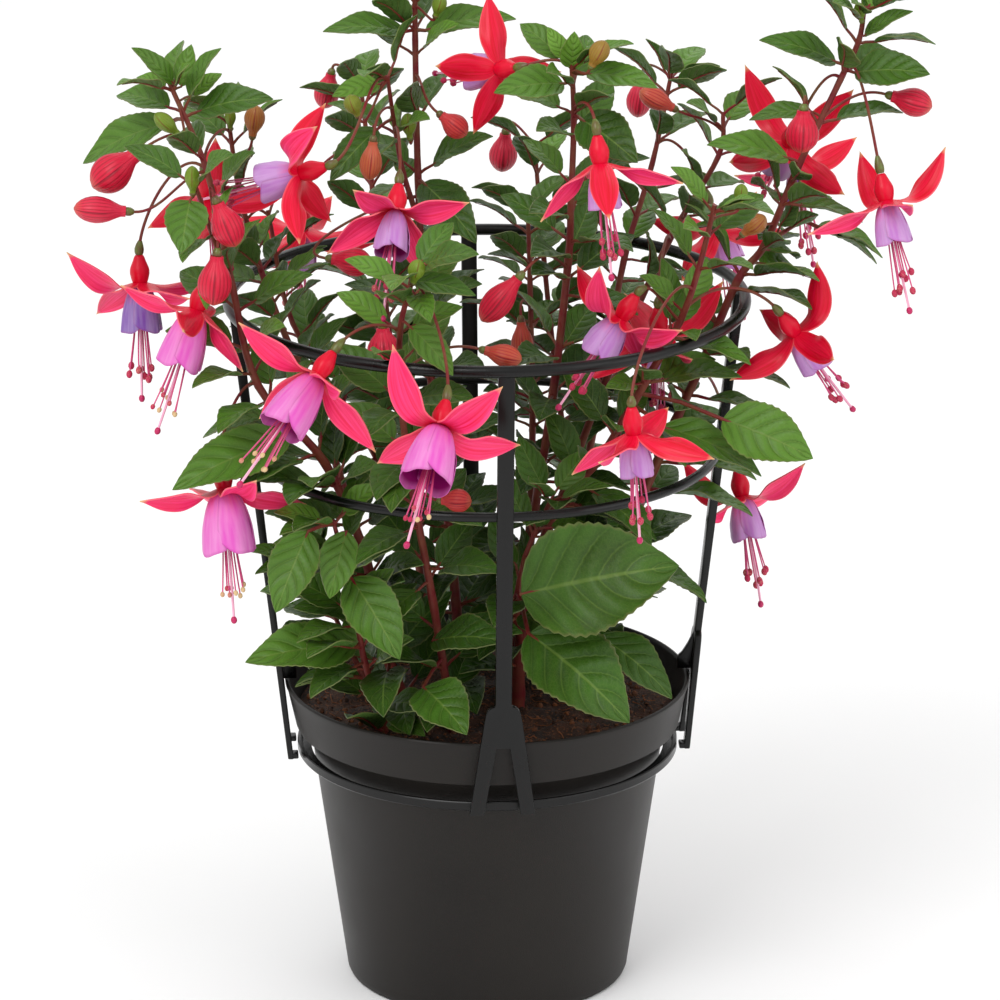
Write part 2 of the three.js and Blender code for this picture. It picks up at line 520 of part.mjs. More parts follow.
// Axes of a bloom: down its axis and two square to it
function bloomAxes({ lean, heading }) {
  const tilt = radians(lean);
  const turn = radians(heading);
  const down = new THREE.Vector3(Math.sin(tilt) * Math.cos(turn), Math.sin(tilt) * Math.sin(turn), -Math.cos(tilt));
  const guide = Math.abs(down.y) < 0.9 ? new THREE.Vector3(0, 1, 0) : new THREE.Vector3(1, 0, 0);
  const first = new THREE.Vector3().crossVectors(guide, down).normalize();
  const second = new THREE.Vector3().crossVectors(down, first);
  return { down, first, second };
}

// Maps a geometry made along +Y onto a bloom's axis
function onBloom(geometry, bloom) {
  const { down, first, second } = bloomAxes(bloom);
  const matrix = new THREE.Matrix4().makeBasis(second, down, first).setPosition(vec(bloom.at));
  return geometry.applyMatrix4(matrix);
}

// Turn of a sepal about its own length, towards showing its face to the front
function sepalTurn(down, out, side, lift) {
  const front = new THREE.Vector3(0, -1, 0);
  const along = down.clone().multiplyScalar(Math.cos(lift)).addScaledVector(out, Math.sin(lift));
  const face = down.clone().multiplyScalar(Math.sin(lift)).addScaledVector(out, -Math.cos(lift));
  const edgeOn = new THREE.Vector3().crossVectors(along, face).dot(front);
  const faceOn = face.dot(front);
  const full = Math.atan2(edgeOn * Math.sign(faceOn || 1), Math.abs(faceOn));
  return THREE.MathUtils.clamp(0.7 * full, -SEPAL_TURN, SEPAL_TURN);
}

// Point on a sepal: it flares out of the tube, then bends to its own lift angle
function sepalPoint(bloom, index, s, v) {
  const { down, first, second } = bloomAxes(bloom);
  const around = radians(bloom.roll + index * 90);
  const out = first.clone().multiplyScalar(Math.cos(around)).addScaledVector(second, Math.sin(around));
  const side = new THREE.Vector3().crossVectors(down, out);
  const lift = radians(bloom.lifts[index]);
  const steps = 12;
  const point = vec(bloom.at).addScaledVector(out, FLARE_RADIUS);
  let bend = FLARE_START;
  for (let step = 0; step < steps; step += 1) {
    const middle = (s * (step + 0.5)) / steps;
    bend = lift + (FLARE_START - lift) * (1 - middle) ** 3;
    const length = (bloom.sepal * s) / steps;
    point.addScaledVector(down, Math.cos(bend) * length).addScaledVector(out, Math.sin(bend) * length);
  }
  const inward = down.clone().multiplyScalar(Math.sin(bend)).addScaledVector(out, -Math.cos(bend));
  const along = down.clone().multiplyScalar(Math.cos(bend)).addScaledVector(out, Math.sin(bend));
  const turn = sepalTurn(down, out, side, lift) * THREE.MathUtils.smoothstep(s, 0.05, 0.5);
  side.applyAxisAngle(along, turn);
  inward.applyAxisAngle(along, turn);
  const share = Math.max(s, 0);
  const half = (SEPAL_WIDTH / 2) * (0.28 + 0.72 * Math.sin(Math.PI * Math.min(share * 1.05, 1) ** 0.8));
  const width = half * (1 - share ** 5);
  return point.addScaledVector(side, v * width).addScaledVector(inward, SEPAL_CUP * width * Math.abs(v));
}

function buildCalyx(bloom) {
  const profile = [[0, -TUBE_LENGTH], [2.2, -TUBE_LENGTH], [3.9, -TUBE_LENGTH * 0.5], [3.2, 0], [0, 0]];
  const tube = new THREE.LatheGeometry(profile.map(([r, y]) => new THREE.Vector2(r, y)), 5);
  const pieces = [solidOf(onBloom(tube, bloom))];
  for (let index = 0; index < 4; index += 1) {
    const place = (s, v) => sepalPoint(bloom, index, s, v);
    const lift = (s) => (SEPAL_THICKNESS / 2) * (1.1 - 0.3 * s);
    pieces.push(solidOf(blade({ place, lift, first: SEPAL_ROOT, rimCount: 3, ribCount: 2 })));
  }
  return wasm.Manifold.union(pieces);
}

// Skirt of four petals that overlap one way round, with stamens and pistil standing out of it
function buildCorolla(bloom) {
  const [radius, length] = bloom.skirt;
  const wall = 0.85;
  const profile = [
    [0, SKIRT_GAP], [2.1, SKIRT_GAP], [radius * 0.86, length * 0.48], [radius, length],
    [radius - wall, length * 0.97], [0, length * 0.5],
  ];
  const skirt = new THREE.LatheGeometry(profile.map(([r, y]) => new THREE.Vector2(r, y)), 2 * PETALS);
  const position = skirt.attributes.position;
  for (let index = 0; index < position.count; index += 1) {
    const x = position.getX(index);
    const z = position.getZ(index);
    const middle = Math.round((Math.atan2(x, z) / (2 * Math.PI) + 1) * 2 * PETALS) % 2;
    const swell = middle ? 1.06 : 0.94;
    const rim = position.getY(index) > length * 0.9 ? length * (middle ? 0.07 : -0.07) : 0;
    position.setXYZ(index, x * swell, position.getY(index) + rim, z * swell);
  }
  const pieces = [skirt];
  const strands = [[0, 1.6, 3.2, 15], [1, 1.6, 2.8, 19], [2, 0, 0.8, 28]];
  for (const [index, inner, spread, reach] of strands) {
    const around = radians(bloom.roll + 40 + index * 180);
    const aim = [Math.sin(around), Math.cos(around)];
    const start = new THREE.Vector3(aim[0] * inner, length * 0.34, aim[1] * inner);
    const end = new THREE.Vector3(aim[0] * spread, length + reach, aim[1] * spread);
    pieces.push(rod(new THREE.LineCurve3(start, end), [[0, 0.5], [0.93, 0.8], [1, 0.25]], 3));
  }
  return wasm.Manifold.union(pieces.map((piece) => solidOf(onBloom(piece, bloom))));
}

const stemCurve = ({ points }) => new THREE.CatmullRomCurve3(points.map(vec), false, "catmullrom", 0.5);

function stemStations({ points, radii }, extra) {
  const steps = points.length - 1;
  return Array.from({ length: steps + 1 }, (_, index) => {
    const t = index / steps;
    return [t, radii[0] + (radii[1] - radii[0]) * t ** 0.8 + extra];
  });
}

// Point on a stem at t from 0 to 1, along the straight stretches between its points
function onStem({ points }, t) {
  const place = Math.min(t, 0.9999) * (points.length - 1);
  const index = Math.floor(place);
  return vec(points[index]).lerp(vec(points[index + 1]), place - index);
}

// Nearest point of a shoot's stems to a hand-given point
function nearestOnShoot(shoot, target) {
  let best = null;
  for (const { points } of shoot.stems) {
    for (let index = 0; index < points.length - 1; index += 1) {
      const stretch = new THREE.Line3(vec(points[index]), vec(points[index + 1]));
      const point = stretch.closestPointToPoint(target, true, new THREE.Vector3());
      const distance = point.distanceTo(target);
      if (!best || distance < best.distance) best = { point, distance };
    }
  }
  return best.point;
}

// Flower stalk that arches from the stem and ends in the green ovary
function buildStalk(shoot, axil, end, down, ovaryRadius) {
  const start = nearestOnShoot(shoot, vec(axil));
  const reach = start.distanceTo(end);
  const level = new THREE.Vector3(end.x - start.x, end.y - start.y, 0).multiplyScalar(0.35);
  const rise = start.clone().add(level).add(new THREE.Vector3(0, 0, reach * 0.22));
  const fall = end.clone().addScaledVector(down, -Math.min(reach * 0.4, 16));
  const curve = new THREE.CubicBezierCurve3(start, rise, fall, end);
  const share = Math.min(OVARY_LENGTH / reach, 0.4);
  const stations = [[0, 0.8], [(1 - share) / 2, 0.7], [1 - share, 0.8], [1 - share * 0.45, ovaryRadius],
    [1, ovaryRadius * 0.75]];
  return solidOf(rod(curve, stations, 3));
}

// Closed bud on its arched stalk, one rod: ovary, narrow neck and a plump egg of folded sepals
function buildBud([, axil, top, tip, radius], shoot) {
  const start = nearestOnShoot(shoot, vec(axil));
  const head = vec(top);
  const end = vec(tip);
  const length = head.distanceTo(end);
  const down = end.clone().sub(head).normalize();
  const reach = start.distanceTo(head);
  const rise = start.clone().lerp(head, 0.35).add(new THREE.Vector3(0, 0, reach * 0.16));
  const path = new THREE.CurvePath();
  path.add(new THREE.CubicBezierCurve3(start, rise, head.clone().addScaledVector(down, -0.35 * reach), head));
  path.add(new THREE.LineCurve3(head, end));
  const share = length / path.getLength();
  const stations = [[0, 0.8], [(1 - share) / 2, 0.7], [1 - share, 1], [1 - share * 0.78, radius * 0.6],
    [1 - share * 0.4, radius], [1, radius * 0.3]];
  return solidOf(rod(path, stations, 4));
}

// Leaf: blade arched along its length, folded up from the rib, with a waved and toothed rim
function leafPoint(leaf, s, v) {
  const chord = leaf.tip.clone().sub(leaf.base);
  const span = chord.length();
  const along = chord.divideScalar(span);
  const up = leaf.up.clone().addScaledVector(along, -leaf.up.dot(along)).normalize();
  const side = new THREE.Vector3().crossVectors(along, up);
  const half = leaf.droop / 2;
  const length = (span * half) / Math.sin(half);
  const angle = leaf.droop * (0.5 - s);
  const forward = (length * (Math.sin(half) - Math.sin(angle))) / leaf.droop;
  const rise = (length * (Math.cos(angle) - Math.cos(half))) / leaf.droop;
  const width = (length * leaf.share * 0.5) * Math.sin(Math.PI * s ** 0.75) ** 0.9;
  const wave = LEAF_WAVE * Math.sin(s * 11 + leaf.phase) * v * v;
  const lift = width * (LEAF_FOLD * Math.abs(v) + wave);
  const local = up.clone().multiplyScalar(Math.cos(angle)).addScaledVector(along, -Math.sin(angle));
  const point = leaf.base.clone().addScaledVector(along, forward).addScaledVector(up, rise);
  return point.addScaledVector(side, width * v).addScaledVector(local, lift);
}

function buildLeaf(leaf, stalked) {
  return solidOf(blade({
    place: (s, v) => leafPoint(leaf, s, v),
    lift: () => LEAF_THICKNESS / 2,
    rimCount: 4,
    ribCount: 2,
    rimOf: (index) => 1 + (index % 2 ? LEAF_TOOTH : -LEAF_TOOTH),
    stalk: stalked ? { from: leaf.origin, radius: PETIOLE_RADIUS } : null,
  }));
}

// One try of a leaf: turned about its root on the stem, and scaled
function leafTry(leaf, [swing, pitch, size]) {
  const along = leaf.tip.clone().sub(leaf.origin).normalize();
  const up = leaf.up.clone().addScaledVector(along, -leaf.up.dot(along)).normalize();
  const side = new THREE.Vector3().crossVectors(along, up);
  const turn = (point) => {
    const arm = point.clone().sub(leaf.origin).multiplyScalar(size);
    return arm.applyAxisAngle(up, radians(swing)).applyAxisAngle(side, radians(pitch)).add(leaf.origin);
  };
  return { ...leaf, base: turn(leaf.base), tip: turn(leaf.tip) };
}

// Leaves by rule: opposite pairs along a stem, each pair square to the one below
function pairedLeaves(stem, random) {
  const leaves = [];
  for (let node = 0; node < stem.nodes; node += 1) {
    const t = 0.3 + (0.66 * (node + 0.5 * random())) / Math.max(stem.nodes - 1, 1);
    const origin = onStem(stem, Math.min(t, 0.985));
    const along = stemCurve(stem).getTangent(Math.min(t, 0.985));
    const first = new THREE.Vector3().crossVectors(along, new THREE.Vector3(0, 1, 0)).normalize();
    const second = new THREE.Vector3().crossVectors(along, first);
    const length = stem.leaves[0] + (stem.leaves[1] - stem.leaves[0]) * t;
    for (const turnBy of [0, Math.PI]) {
      const around = node * (Math.PI / 2) + turnBy + 0.7 + random() * 0.7;
      const out = first.clone().multiplyScalar(Math.cos(around)).addScaledVector(second, Math.sin(around));
      const climb = 0.1 + 0.5 * t + 0.3 * random();
      const aim = out.clone().addScaledVector(along, climb).normalize();
      const base = origin.clone().addScaledVector(aim, 0.26 * length);
      const tip = base.clone().addScaledVector(aim, length * (0.9 + 0.2 * random()));
      tip.z -= 0.16 * length;
      const outward = new THREE.Vector3(origin.x + out.x * 60, origin.y + out.y * 60, 0).normalize();
      const up = new THREE.Vector3(0, 0, 0.75).addScaledVector(outward, 0.55);
      leaves.push({ origin, base, tip, up, share: 0.46 + 0.08 * random(), droop: 0.7, phase: 6 * random() });
    }
  }
  return leaves;
}

function shownLeaf([name, base, tip, share, facing], shoot, index) {
  const up = new THREE.Vector3(0, -facing, 1 - facing * 0.6);
  const origin = nearestOnShoot(shoot, vec(base));
  return { origin, base: vec(base), tip: vec(tip), up, share, droop: 0.6, phase: index * 1.7 };
}

// True where a leaf comes closer to its neighbours than the gap that leaves keep
function tooClose(solid, others) {
  const box = solid.boundingBox();
  return others.some((other) => {
    const apart = [0, 1, 2].some((axis) => box.min[axis] - LEAF_GAP > other.box.max[axis]
      || other.box.min[axis] - LEAF_GAP > box.max[axis]);
    return !apart && solid.minGap(other.solid, LEAF_GAP) < LEAF_GAP;
  });
}

const obstacle = (solid, owner) => ({ solid, owner, box: solid.boundingBox() });

// Structure
const group = new THREE.Group();
const taken = [];

function place(name, solid, material) {
  const mesh = new THREE.Mesh(geometryOf(solid), material);
  mesh.name = name;
  group.add(mesh);
}

const stemSolids = new Map();
const stemHoles = [];
for (const shoot of SHOOTS) {
  const rods = shoot.stems.map((stem, index) => solidOf(rod(stemCurve(stem), stemStations(stem, 0), index ? 4 : 5)));
  stemSolids.set(shoot.name, rods);
  const sunk = { ...shoot.stems[0] };
  sunk.points = [sunk.points[0].map((value, axis) => value - (axis === 2 ? HOLE_CLEARANCE : 0)), ...sunk.points.slice(1)];
  stemHoles.push(solidOf(rod(stemCurve(sunk), stemStations(sunk, HOLE_CLEARANCE), 5)));
}

const structure = [
  ["pot", buildPot(), POT_PLASTIC],
  ["soil", buildSoil(stemHoles), COMPOST],
  ["ring_base", solidOf(buildBaseRing().rotateZ(CAGE_TURN)), CAGE_PLASTIC],
  ["ring_mid", solidOf(buildRoundRing(MID_RING).rotateZ(CAGE_TURN)), CAGE_PLASTIC],
  ["ring_top", solidOf(buildRoundRing(TOP_RING).rotateZ(CAGE_TURN)), CAGE_PLASTIC],
];
const upright = buildUpright();
["right", "back", "left", "front"].forEach((side, index) => {
  const turn = THREE.MathUtils.radToDeg(CAGE_TURN) + index * 90;
  structure.push([`upright_${side}`, upright.rotate([0, 0, turn]), CAGE_PLASTIC]);
});
for (const [name, solid, material] of structure) {
  place(name, solid, material);
  taken.push(obstacle(solid, name));
}

// Blooms
BLOOMS.forEach((bloom, index) => {
  const label = String(index + 1).padStart(2, "0");
  const calyx = buildCalyx(bloom);
  const corolla = buildCorolla(bloom);
  place(`bloom_${label}_calyx`, calyx, CALYX);
  place(`bloom_${label}_corolla`, corolla, SKIRT[bloom.tint]);
  taken.push(obstacle(calyx, `bloom_${label}`), obstacle(corolla, `bloom_${label}`));
});

// Shoots: stems, flower stalks and buds first, then the leaves that stay clear of everything
const shootPieces = new Map();
for (const shoot of SHOOTS) {
  const stalks = [];
  for (const bloom of BLOOMS.filter((each) => each.shoot === shoot.name)) {
    const { down } = bloomAxes(bloom);
    const end = vec(bloom.at).addScaledVector(down, -TUBE_LENGTH - CLEARANCE);
    stalks.push(buildStalk(shoot, bloom.axil, end, down, OVARY_RADIUS));
  }
  for (const bud of BUDS.filter((each) => each[0] === shoot.name)) {
    stalks.push(buildBud(bud, shoot));
  }
  shootPieces.set(shoot.name, [...stemSolids.get(shoot.name), ...stalks]);
  for (const solid of stemSolids.get(shoot.name)) taken.push(obstacle(solid, shoot.name));
  for (const solid of stalks) taken.push(obstacle(solid, shoot.name));
}

for (const shoot of SHOOTS) {
  const shown = SHOWN_LEAVES.map((each, index) => ({ each, index })).filter(({ each }) => each[0] === shoot.name);
  const wanted = shown.map(({ each, index }) => shownLeaf(each, shoot, index));
  const random = randomFrom(shoot.seed);
  for (const stem of shoot.stems) {
    wanted.push(...pairedLeaves(stem, random));
  }
  for (const leaf of wanted) {
    for (const change of LEAF_TRIES) {
      const moved = leafTry(leaf, change);
      const solid = buildLeaf(moved, true);
      if (tooClose(solid, taken.filter((each) => each.owner !== shoot.name))) continue;
      if (tooClose(buildLeaf(moved, false), taken.filter((each) => each.owner === shoot.name))) continue;
      taken.push(obstacle(solid, shoot.name));
      shootPieces.get(shoot.name).push(solid);
      break;
    }
  }
}

for (const [name, pieces] of shootPieces) {
  place(`shoot_${name}`, wasm.Manifold.union(pieces), FOLIAGE);
}

export default group;
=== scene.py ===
"""Fuchsia in a nursery pot with a support cage: fine pieces, finishes and studio.

Sizes in the tables and formulas are millimetres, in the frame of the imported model; meshes are metres.
"""
import math
from collections import namedtuple
from functools import lru_cache

import bmesh
import bpy
from bpy.props import FloatProperty, FloatVectorProperty, IntProperty, PointerProperty
from mathutils import Euler, Matrix, Quaternion, Vector, geometry, noise
from mathutils.bvhtree import BVHTree
from mathutils.kdtree import KDTree


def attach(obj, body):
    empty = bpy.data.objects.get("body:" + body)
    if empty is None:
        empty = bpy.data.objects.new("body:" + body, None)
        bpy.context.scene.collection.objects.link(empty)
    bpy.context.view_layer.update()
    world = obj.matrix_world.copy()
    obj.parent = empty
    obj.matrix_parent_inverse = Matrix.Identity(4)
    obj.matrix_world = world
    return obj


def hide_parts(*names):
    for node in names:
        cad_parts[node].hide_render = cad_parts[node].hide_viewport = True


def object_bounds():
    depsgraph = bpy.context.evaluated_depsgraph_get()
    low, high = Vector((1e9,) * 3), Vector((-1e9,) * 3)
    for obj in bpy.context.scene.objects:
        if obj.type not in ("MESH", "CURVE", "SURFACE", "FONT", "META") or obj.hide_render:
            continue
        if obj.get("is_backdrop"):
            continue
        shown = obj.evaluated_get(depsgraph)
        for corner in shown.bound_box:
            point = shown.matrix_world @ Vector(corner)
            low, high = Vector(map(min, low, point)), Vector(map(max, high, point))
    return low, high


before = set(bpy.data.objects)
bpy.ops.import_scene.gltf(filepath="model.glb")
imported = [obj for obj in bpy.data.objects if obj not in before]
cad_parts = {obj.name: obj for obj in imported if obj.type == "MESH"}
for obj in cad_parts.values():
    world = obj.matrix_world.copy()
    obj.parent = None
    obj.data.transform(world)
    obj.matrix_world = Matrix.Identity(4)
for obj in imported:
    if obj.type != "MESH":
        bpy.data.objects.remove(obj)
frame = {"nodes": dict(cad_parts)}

bl_info = {
    "name": "Potted fuchsia",
    "version": (1, 0, 0),
    "blender": (4, 5, 0),
    "location": "3D View > Sidebar > Fuchsia",
    "description": "Fine plant, pot and support cage around the packed model",
    "category": "Object",
}

CAD_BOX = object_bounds()
NODES = frame["nodes"]
MM = 0.001
WELD = 1e-7
PLAN = "plan"
FACTS = "facts"

# Pot, compost and cage, as in the part's source
COLLAR_BOTTOM = 111.5
COLLAR_RADIUS = 80.6
NECK_RADIUS = 74.5
DRAIN_CIRCLE = 40
DRAIN_RADIUS = 5
SOIL_TOP = 120.5
CAGE_TURN = math.radians(4.4)
FOOT_BOTTOM = 99.8
FOOT_RADIUS = 83.4
HEAD_RADIUS = 104.4
HEAD_HEIGHT = 295.4
STRIP_THIN = 2.4
STRIP_THICK = 4.4
SHOULDER = 148
CROTCH = 130
CROTCH_HALF = 2.8
FOOT_HALF = 13.5
PRONG = 6
TAB_END = 80.2

# Blooms, leaves and stalks, as in the part's source
TUBE_LENGTH = 11
FLARE_RADIUS = 3
FLARE_START = math.radians(70)
SEPAL_HALF = 6.5
SEPAL_CUP = 0.36
SEPAL_TURN = math.radians(38)
SKIRT_GAP = 0.5
OVARY_LENGTH = 6
OVARY_RADIUS = 2
STALK_CLEARANCE = 0.35
LEAF_FOLD = 0.26
LEAF_WAVE = 0.1
LEAF_TOOTH = 0.06

# Tries for a leaf that would cross its neighbours: swing and pitch in degrees, and size
LEAF_TRIES = [
    (0, 0, 1), (10, 6, 1), (-10, -6, 1), (20, -12, 0.95), (-20, 12, 0.95), (0, 20, 0.9), (0, -20, 0.9),
    (34, 16, 0.85), (-34, -14, 0.85), (48, 0, 0.8), (-48, 8, 0.8), (0, 42, 0.75), (64, 20, 0.7), (-64, 20, 0.7),
]

# at: where the sepals flare; lean from straight down; heading from +X toward +Y; roll of the first sepal;
# lifts: angle of each sepal off the axis; skirt: petal radius and length; axil: where the stalk starts
Bloom = namedtuple("Bloom", "at lean heading roll sepal lifts skirt tint shoot axil")
Stem = namedtuple("Stem", "radii leaves nodes points")
Shoot = namedtuple("Shoot", "seed stems")
Leaf = namedtuple("Leaf", "origin base tip up share droop phase")

BLOOMS = [
    Bloom((5, -25, 398), 76, 127, 28, 29, (77, 95, 45, 99), (7.5, 17), "lavender", "upright", (34, -40, 403)),
    Bloom((-74, -60, 364), 72, 165, 54, 32, (123, 91, 98, 150), (8, 16), "lavender", "centre", (-40, -20, 392)),
    Bloom((-36, -68, 351), 39, 261, 33, 31, (57, 50, 95, 83), (7, 18), "lavender", "centre", (-37, -15, 370)),
    Bloom((45, -75, 372), 12, 302, 357, 31, (42, 76, 68, 42), (6.5, 17), "lavender", "upright", (35, -38, 385)),
    Bloom((124, 16, 357), 46, 106, 44, 35, (119, 150, 122, 125), (7.5, 17), "lavender", "right_tall", (144, 0, 388)),
    Bloom((162, -20, 342), 20, 305, 74, 33, (160, 140, 87, 80), (7.3, 17), "lavender", "right_tall", (147, 0, 392)),
    Bloom((126, -20, 286), 37, 28, 162, 31, (150, 95, 107, 95), (7.2, 17), "lavender", "right_front", (81, -50, 306)),
    Bloom((54, -62, 305), 32, 177, 321, 33, (144, 101, 52, 134), (7.8, 17), "lavender", "right_front", (78, -50, 300)),
    Bloom((-66, -119, 298), 46, 221, 352, 36, (90, 50, 76, 78), (9.5, 25), "violet", "front", (-34, -98, 310)),
    Bloom((-18, -141, 284), 45, 252, 334, 37, (148, 84, 118, 112), (10.5, 24), "violet", "front", (-30, -106, 330)),
    Bloom((58, -116, 273), 5, 16, 295, 32, (97, 48, 95, 77), (6.8, 16), "lavender", "right_front", (82, -54, 314)),
    Bloom((108, 42, 196), 20, 300, 208, 32, (120, 80, 150, 100), (7.6, 18), "lavender", "right_tall", (85, -4, 258)),
    Bloom((-106, -68, 235), 15, 290, 334, 34, (94, 95, 73, 106), (11, 25), "violet", "left_tall", (-92, -58, 275)),
    Bloom((-116, -64, 309), 21, 207, 186, 29, (46, 80, 95, 95), (9, 23), "violet", "left_tall", (-104, -52, 330)),
    Bloom((-141, -25, 309), 10, 278, 325, 36, (131, 63, 95, 89), (8, 19), "purple", "left_tall", (-112, -45, 361)),
    Bloom((131, 80, 331), 10, 20, 60, 29, (92, 104, 88, 110), (6.8, 17), "purple", "right_tall", (128, 11, 324)),
    Bloom((70, -24, 288), 14, 85, 338, 33, (58, 95, 140, 110), (7, 16), "lavender", "right_front", (76, 30, 312)),
    Bloom((-113, -14, 342), 22, 72, 8, 29, (56, 120, 95, 98), (7, 16), "lavender", "left_tall", (-105, 14, 362)),
    Bloom((-80, 113, 294), 14, 110, 20, 32, (84, 96, 102, 90), (7.6, 18), "lavender", "back_left", (-51, 98, 330)),
    Bloom((98, 94, 300), 20, 40, 35, 32, (100, 88, 94, 82), (7.6, 18), "lavender", "back_right", (72, 88, 338)),
]

SHOOTS = {
    "left_tall": Shoot(11, [
        Stem((2.9, 1), (48, 22), 2, [(-31, -28, 104), (-33, -31, 126), (-44, -45, 164), (-50, -45, 199),
            (-66, -52, 241), (-92, -58, 275), (-102, -55, 316), (-112, -45, 361), (-127, -40, 397)]),
        Stem((1.4, 0.8), (24, 16), 1, [(-103, -54, 318), (-109, -68, 341), (-115, -75, 363)]),
        Stem((1.9, 0.9), (38, 20), 1, [(-50, -45, 198), (-68, -18, 248), (-88, 0, 292), (-101, 10, 334),
            (-106, 15, 367)]),
    ]),
    "centre": Shoot(23, [
        Stem((2.7, 1), (46, 20), 2, [(-10, -5, 104), (-11, -6, 128), (-13, -8, 165), (-17, -10, 211), (-25,
            -10, 284), (-28, -5, 347), (-29, 0, 404), (-29, 0, 428)]),
        Stem((1.3, 0.8), (26, 18), 1, [(-28, -7, 330), (-34, -12, 352), (-37, -15, 370), (-40, -20, 394)]),
    ]),
    "front": Shoot(37, [
        Stem((2.1, 0.9), (42, 20), 1, [(-14, -36, 104), (-15, -38, 126), (-22, -50, 180), (-30, -68, 235),
            (-34, -85, 277), (-34, -98, 310), (-30, -105, 329), (-29, -108, 338)]),
    ]),
    "upright": Shoot(41, [
        Stem((2.5, 1), (44, 20), 2, [(10, 8, 104), (11, 6, 128), (17, -4, 185), (27, -18, 258), (33, -30,
            319), (34, -35, 346), (35, -38, 380), (34, -40, 404)]),
        Stem((1.6, 0.9), (36, 20), 1, [(17, -4, 184), (19, 20, 232), (18, 40, 289), (17, 45, 320)]),
    ]),
    "right_front": Shoot(53, [
        Stem((3.2, 1), (46, 22), 2, [(13, -16, 104), (13, -17, 128), (15, -21, 160), (28, -30, 213), (47,
            -35, 238), (65, -42, 273), (78, -50, 300), (85, -55, 323), (91, -60, 351)]),
        Stem((1.8, 0.9), (36, 20), 1, [(29, -30, 214), (50, 0, 262), (76, 30, 312), (96, 36, 346), (98, 40,
            364)]),
        Stem((1.7, 0.9), (38, 24), 1, [(14, -19, 150), (12, -33, 172), (16, -43, 198), (26, -50, 224)]),
    ]),
    "right_tall": Shoot(67, [
        Stem((2.8, 1), (48, 22), 3, [(31, 20, 104), (32, 19, 126), (45, 10, 156), (64, 0, 208), (78, -3,
            243), (89, -4, 269), (103, -4, 304), (114, -3, 319), (126, -5, 350), (144, 0, 388), (151, 0,
            404), (153, 0, 418)]),
        Stem((1.2, 0.8), (24, 18), 1, [(113, -3, 318), (121, 6, 321), (130, 12, 325)]),
    ]),
    "low_left": Shoot(71, [
        Stem((1.9, 0.9), (42, 26), 1, [(-42, -40, 104), (-43, -42, 126), (-50, -56, 156), (-55, -64, 190),
            (-62, -70, 222)]),
        Stem((1.4, 0.8), (36, 24), 1, [(-44, -44, 130), (-58, -36, 158), (-72, -28, 188)]),
    ]),
    "back_left": Shoot(83, [
        Stem((2.4, 0.9), (46, 22), 2, [(-22, 36, 104), (-23, 38, 126), (-32, 56, 180), (-40, 73, 242), (-46,
            84, 290), (-50, 96, 326), (-54, 102, 362)]),
        Stem((1.5, 0.9), (36, 24), 1, [(-32, 56, 179), (-56, 52, 226), (-82, 50, 270), (-92, 54, 318)]),
    ]),
    "back_right": Shoot(97, [
        Stem((2.4, 0.9), (46, 22), 2, [(28, 42, 104), (29, 44, 126), (38, 58, 180), (50, 70, 242), (58, 76,
            290), (70, 86, 330), (78, 92, 368)]),
        Stem((1.5, 0.9), (36, 22), 1, [(38, 58, 179), (30, 70, 235), (24, 82, 290), (20, 92, 338)]),
    ]),
}

SHOWN_LEAVES = [
    ("right_front", (14, -66, 189), (78, -71, 203), 0.7, 0.85),
    ("right_front", (17, -60, 170), (58, -84, 140), 0.62, 0.6),
    ("right_front", (46, -46, 164), (76, -58, 141), 0.5, 0.4),
    ("right_front", (71, -46, 254), (112, -46, 233), 0.4, 0.3),
    ("right_front", (93, -44, 250), (126, -54, 229), 0.6, 0.75),
    ("low_left", (-72, -72, 218), (-85, -86, 188), 0.55, 0.7),
    ("low_left", (-56, -70, 216), (-73, -84, 196), 0.55, 0.7),
    ("low_left", (-55, -66, 196), (-35, -86, 168), 0.55, 0.7),
    ("low_left", (-54, -60, 164), (-98, -78, 164), 0.5, 0.5),
    ("front", (-22, -52, 164), (8, -76, 172), 0.5, 0.5),
    ("front", (-26, -64, 148), (-8, -92, 138), 0.65, 0.6),
    ("left_tall", (-81, -58, 253), (-131, -70, 240), 0.42, 0.6),
    ("left_tall", (-128, -26, 376), (-164, -14, 356), 0.42, 0.5),
    ("left_tall", (-116, -40, 384), (-85, -46, 391), 0.5, 0.5),
    ("left_tall", (-125, -41, 396), (-141, -46, 412), 0.4, 0.5),
    ("left_tall", (-117, -79, 358), (-120, -96, 341), 0.7, 0.9),
    ("centre", (-33, -2, 408), (-66, -14, 411), 0.4, 0.4),
    ("centre", (-25, 0, 408), (12, 8, 411), 0.4, 0.4),
    ("centre", (-43, -22, 391), (-62, -30, 388), 0.5, 0.6),
    ("centre", (-44, -24, 373), (-63, -38, 355), 0.45, 0.6),
    ("centre", (-26, -10, 347), (-4, -38, 329), 0.45, 0.6),
    ("upright", (31, -41, 396), (3, -56, 396), 0.5, 0.6),
    ("upright", (40, -41, 400), (68, -56, 398), 0.4, 0.5),
    ("upright", (38, -44, 382), (60, -66, 370), 0.6, 0.8),
    ("right_tall", (142, -1, 395), (110, -12, 407), 0.4, 0.5),
    ("right_tall", (149, -1, 390), (178, -14, 386), 0.55, 0.6),
    ("right_tall", (153, -1, 406), (172, -8, 418), 0.4, 0.4),
    ("right_tall", (132, 1, 374), (107, 3, 370), 0.4, 0.4),
    ("right_tall", (123, -6, 356), (89, -22, 366), 0.4, 0.5),
    ("front", (-30, -103, 313), (-13, -110, 295), 0.5, 0.5),
    ("front", (-29, -111, 334), (-4, -114, 329), 0.4, 0.5),
]

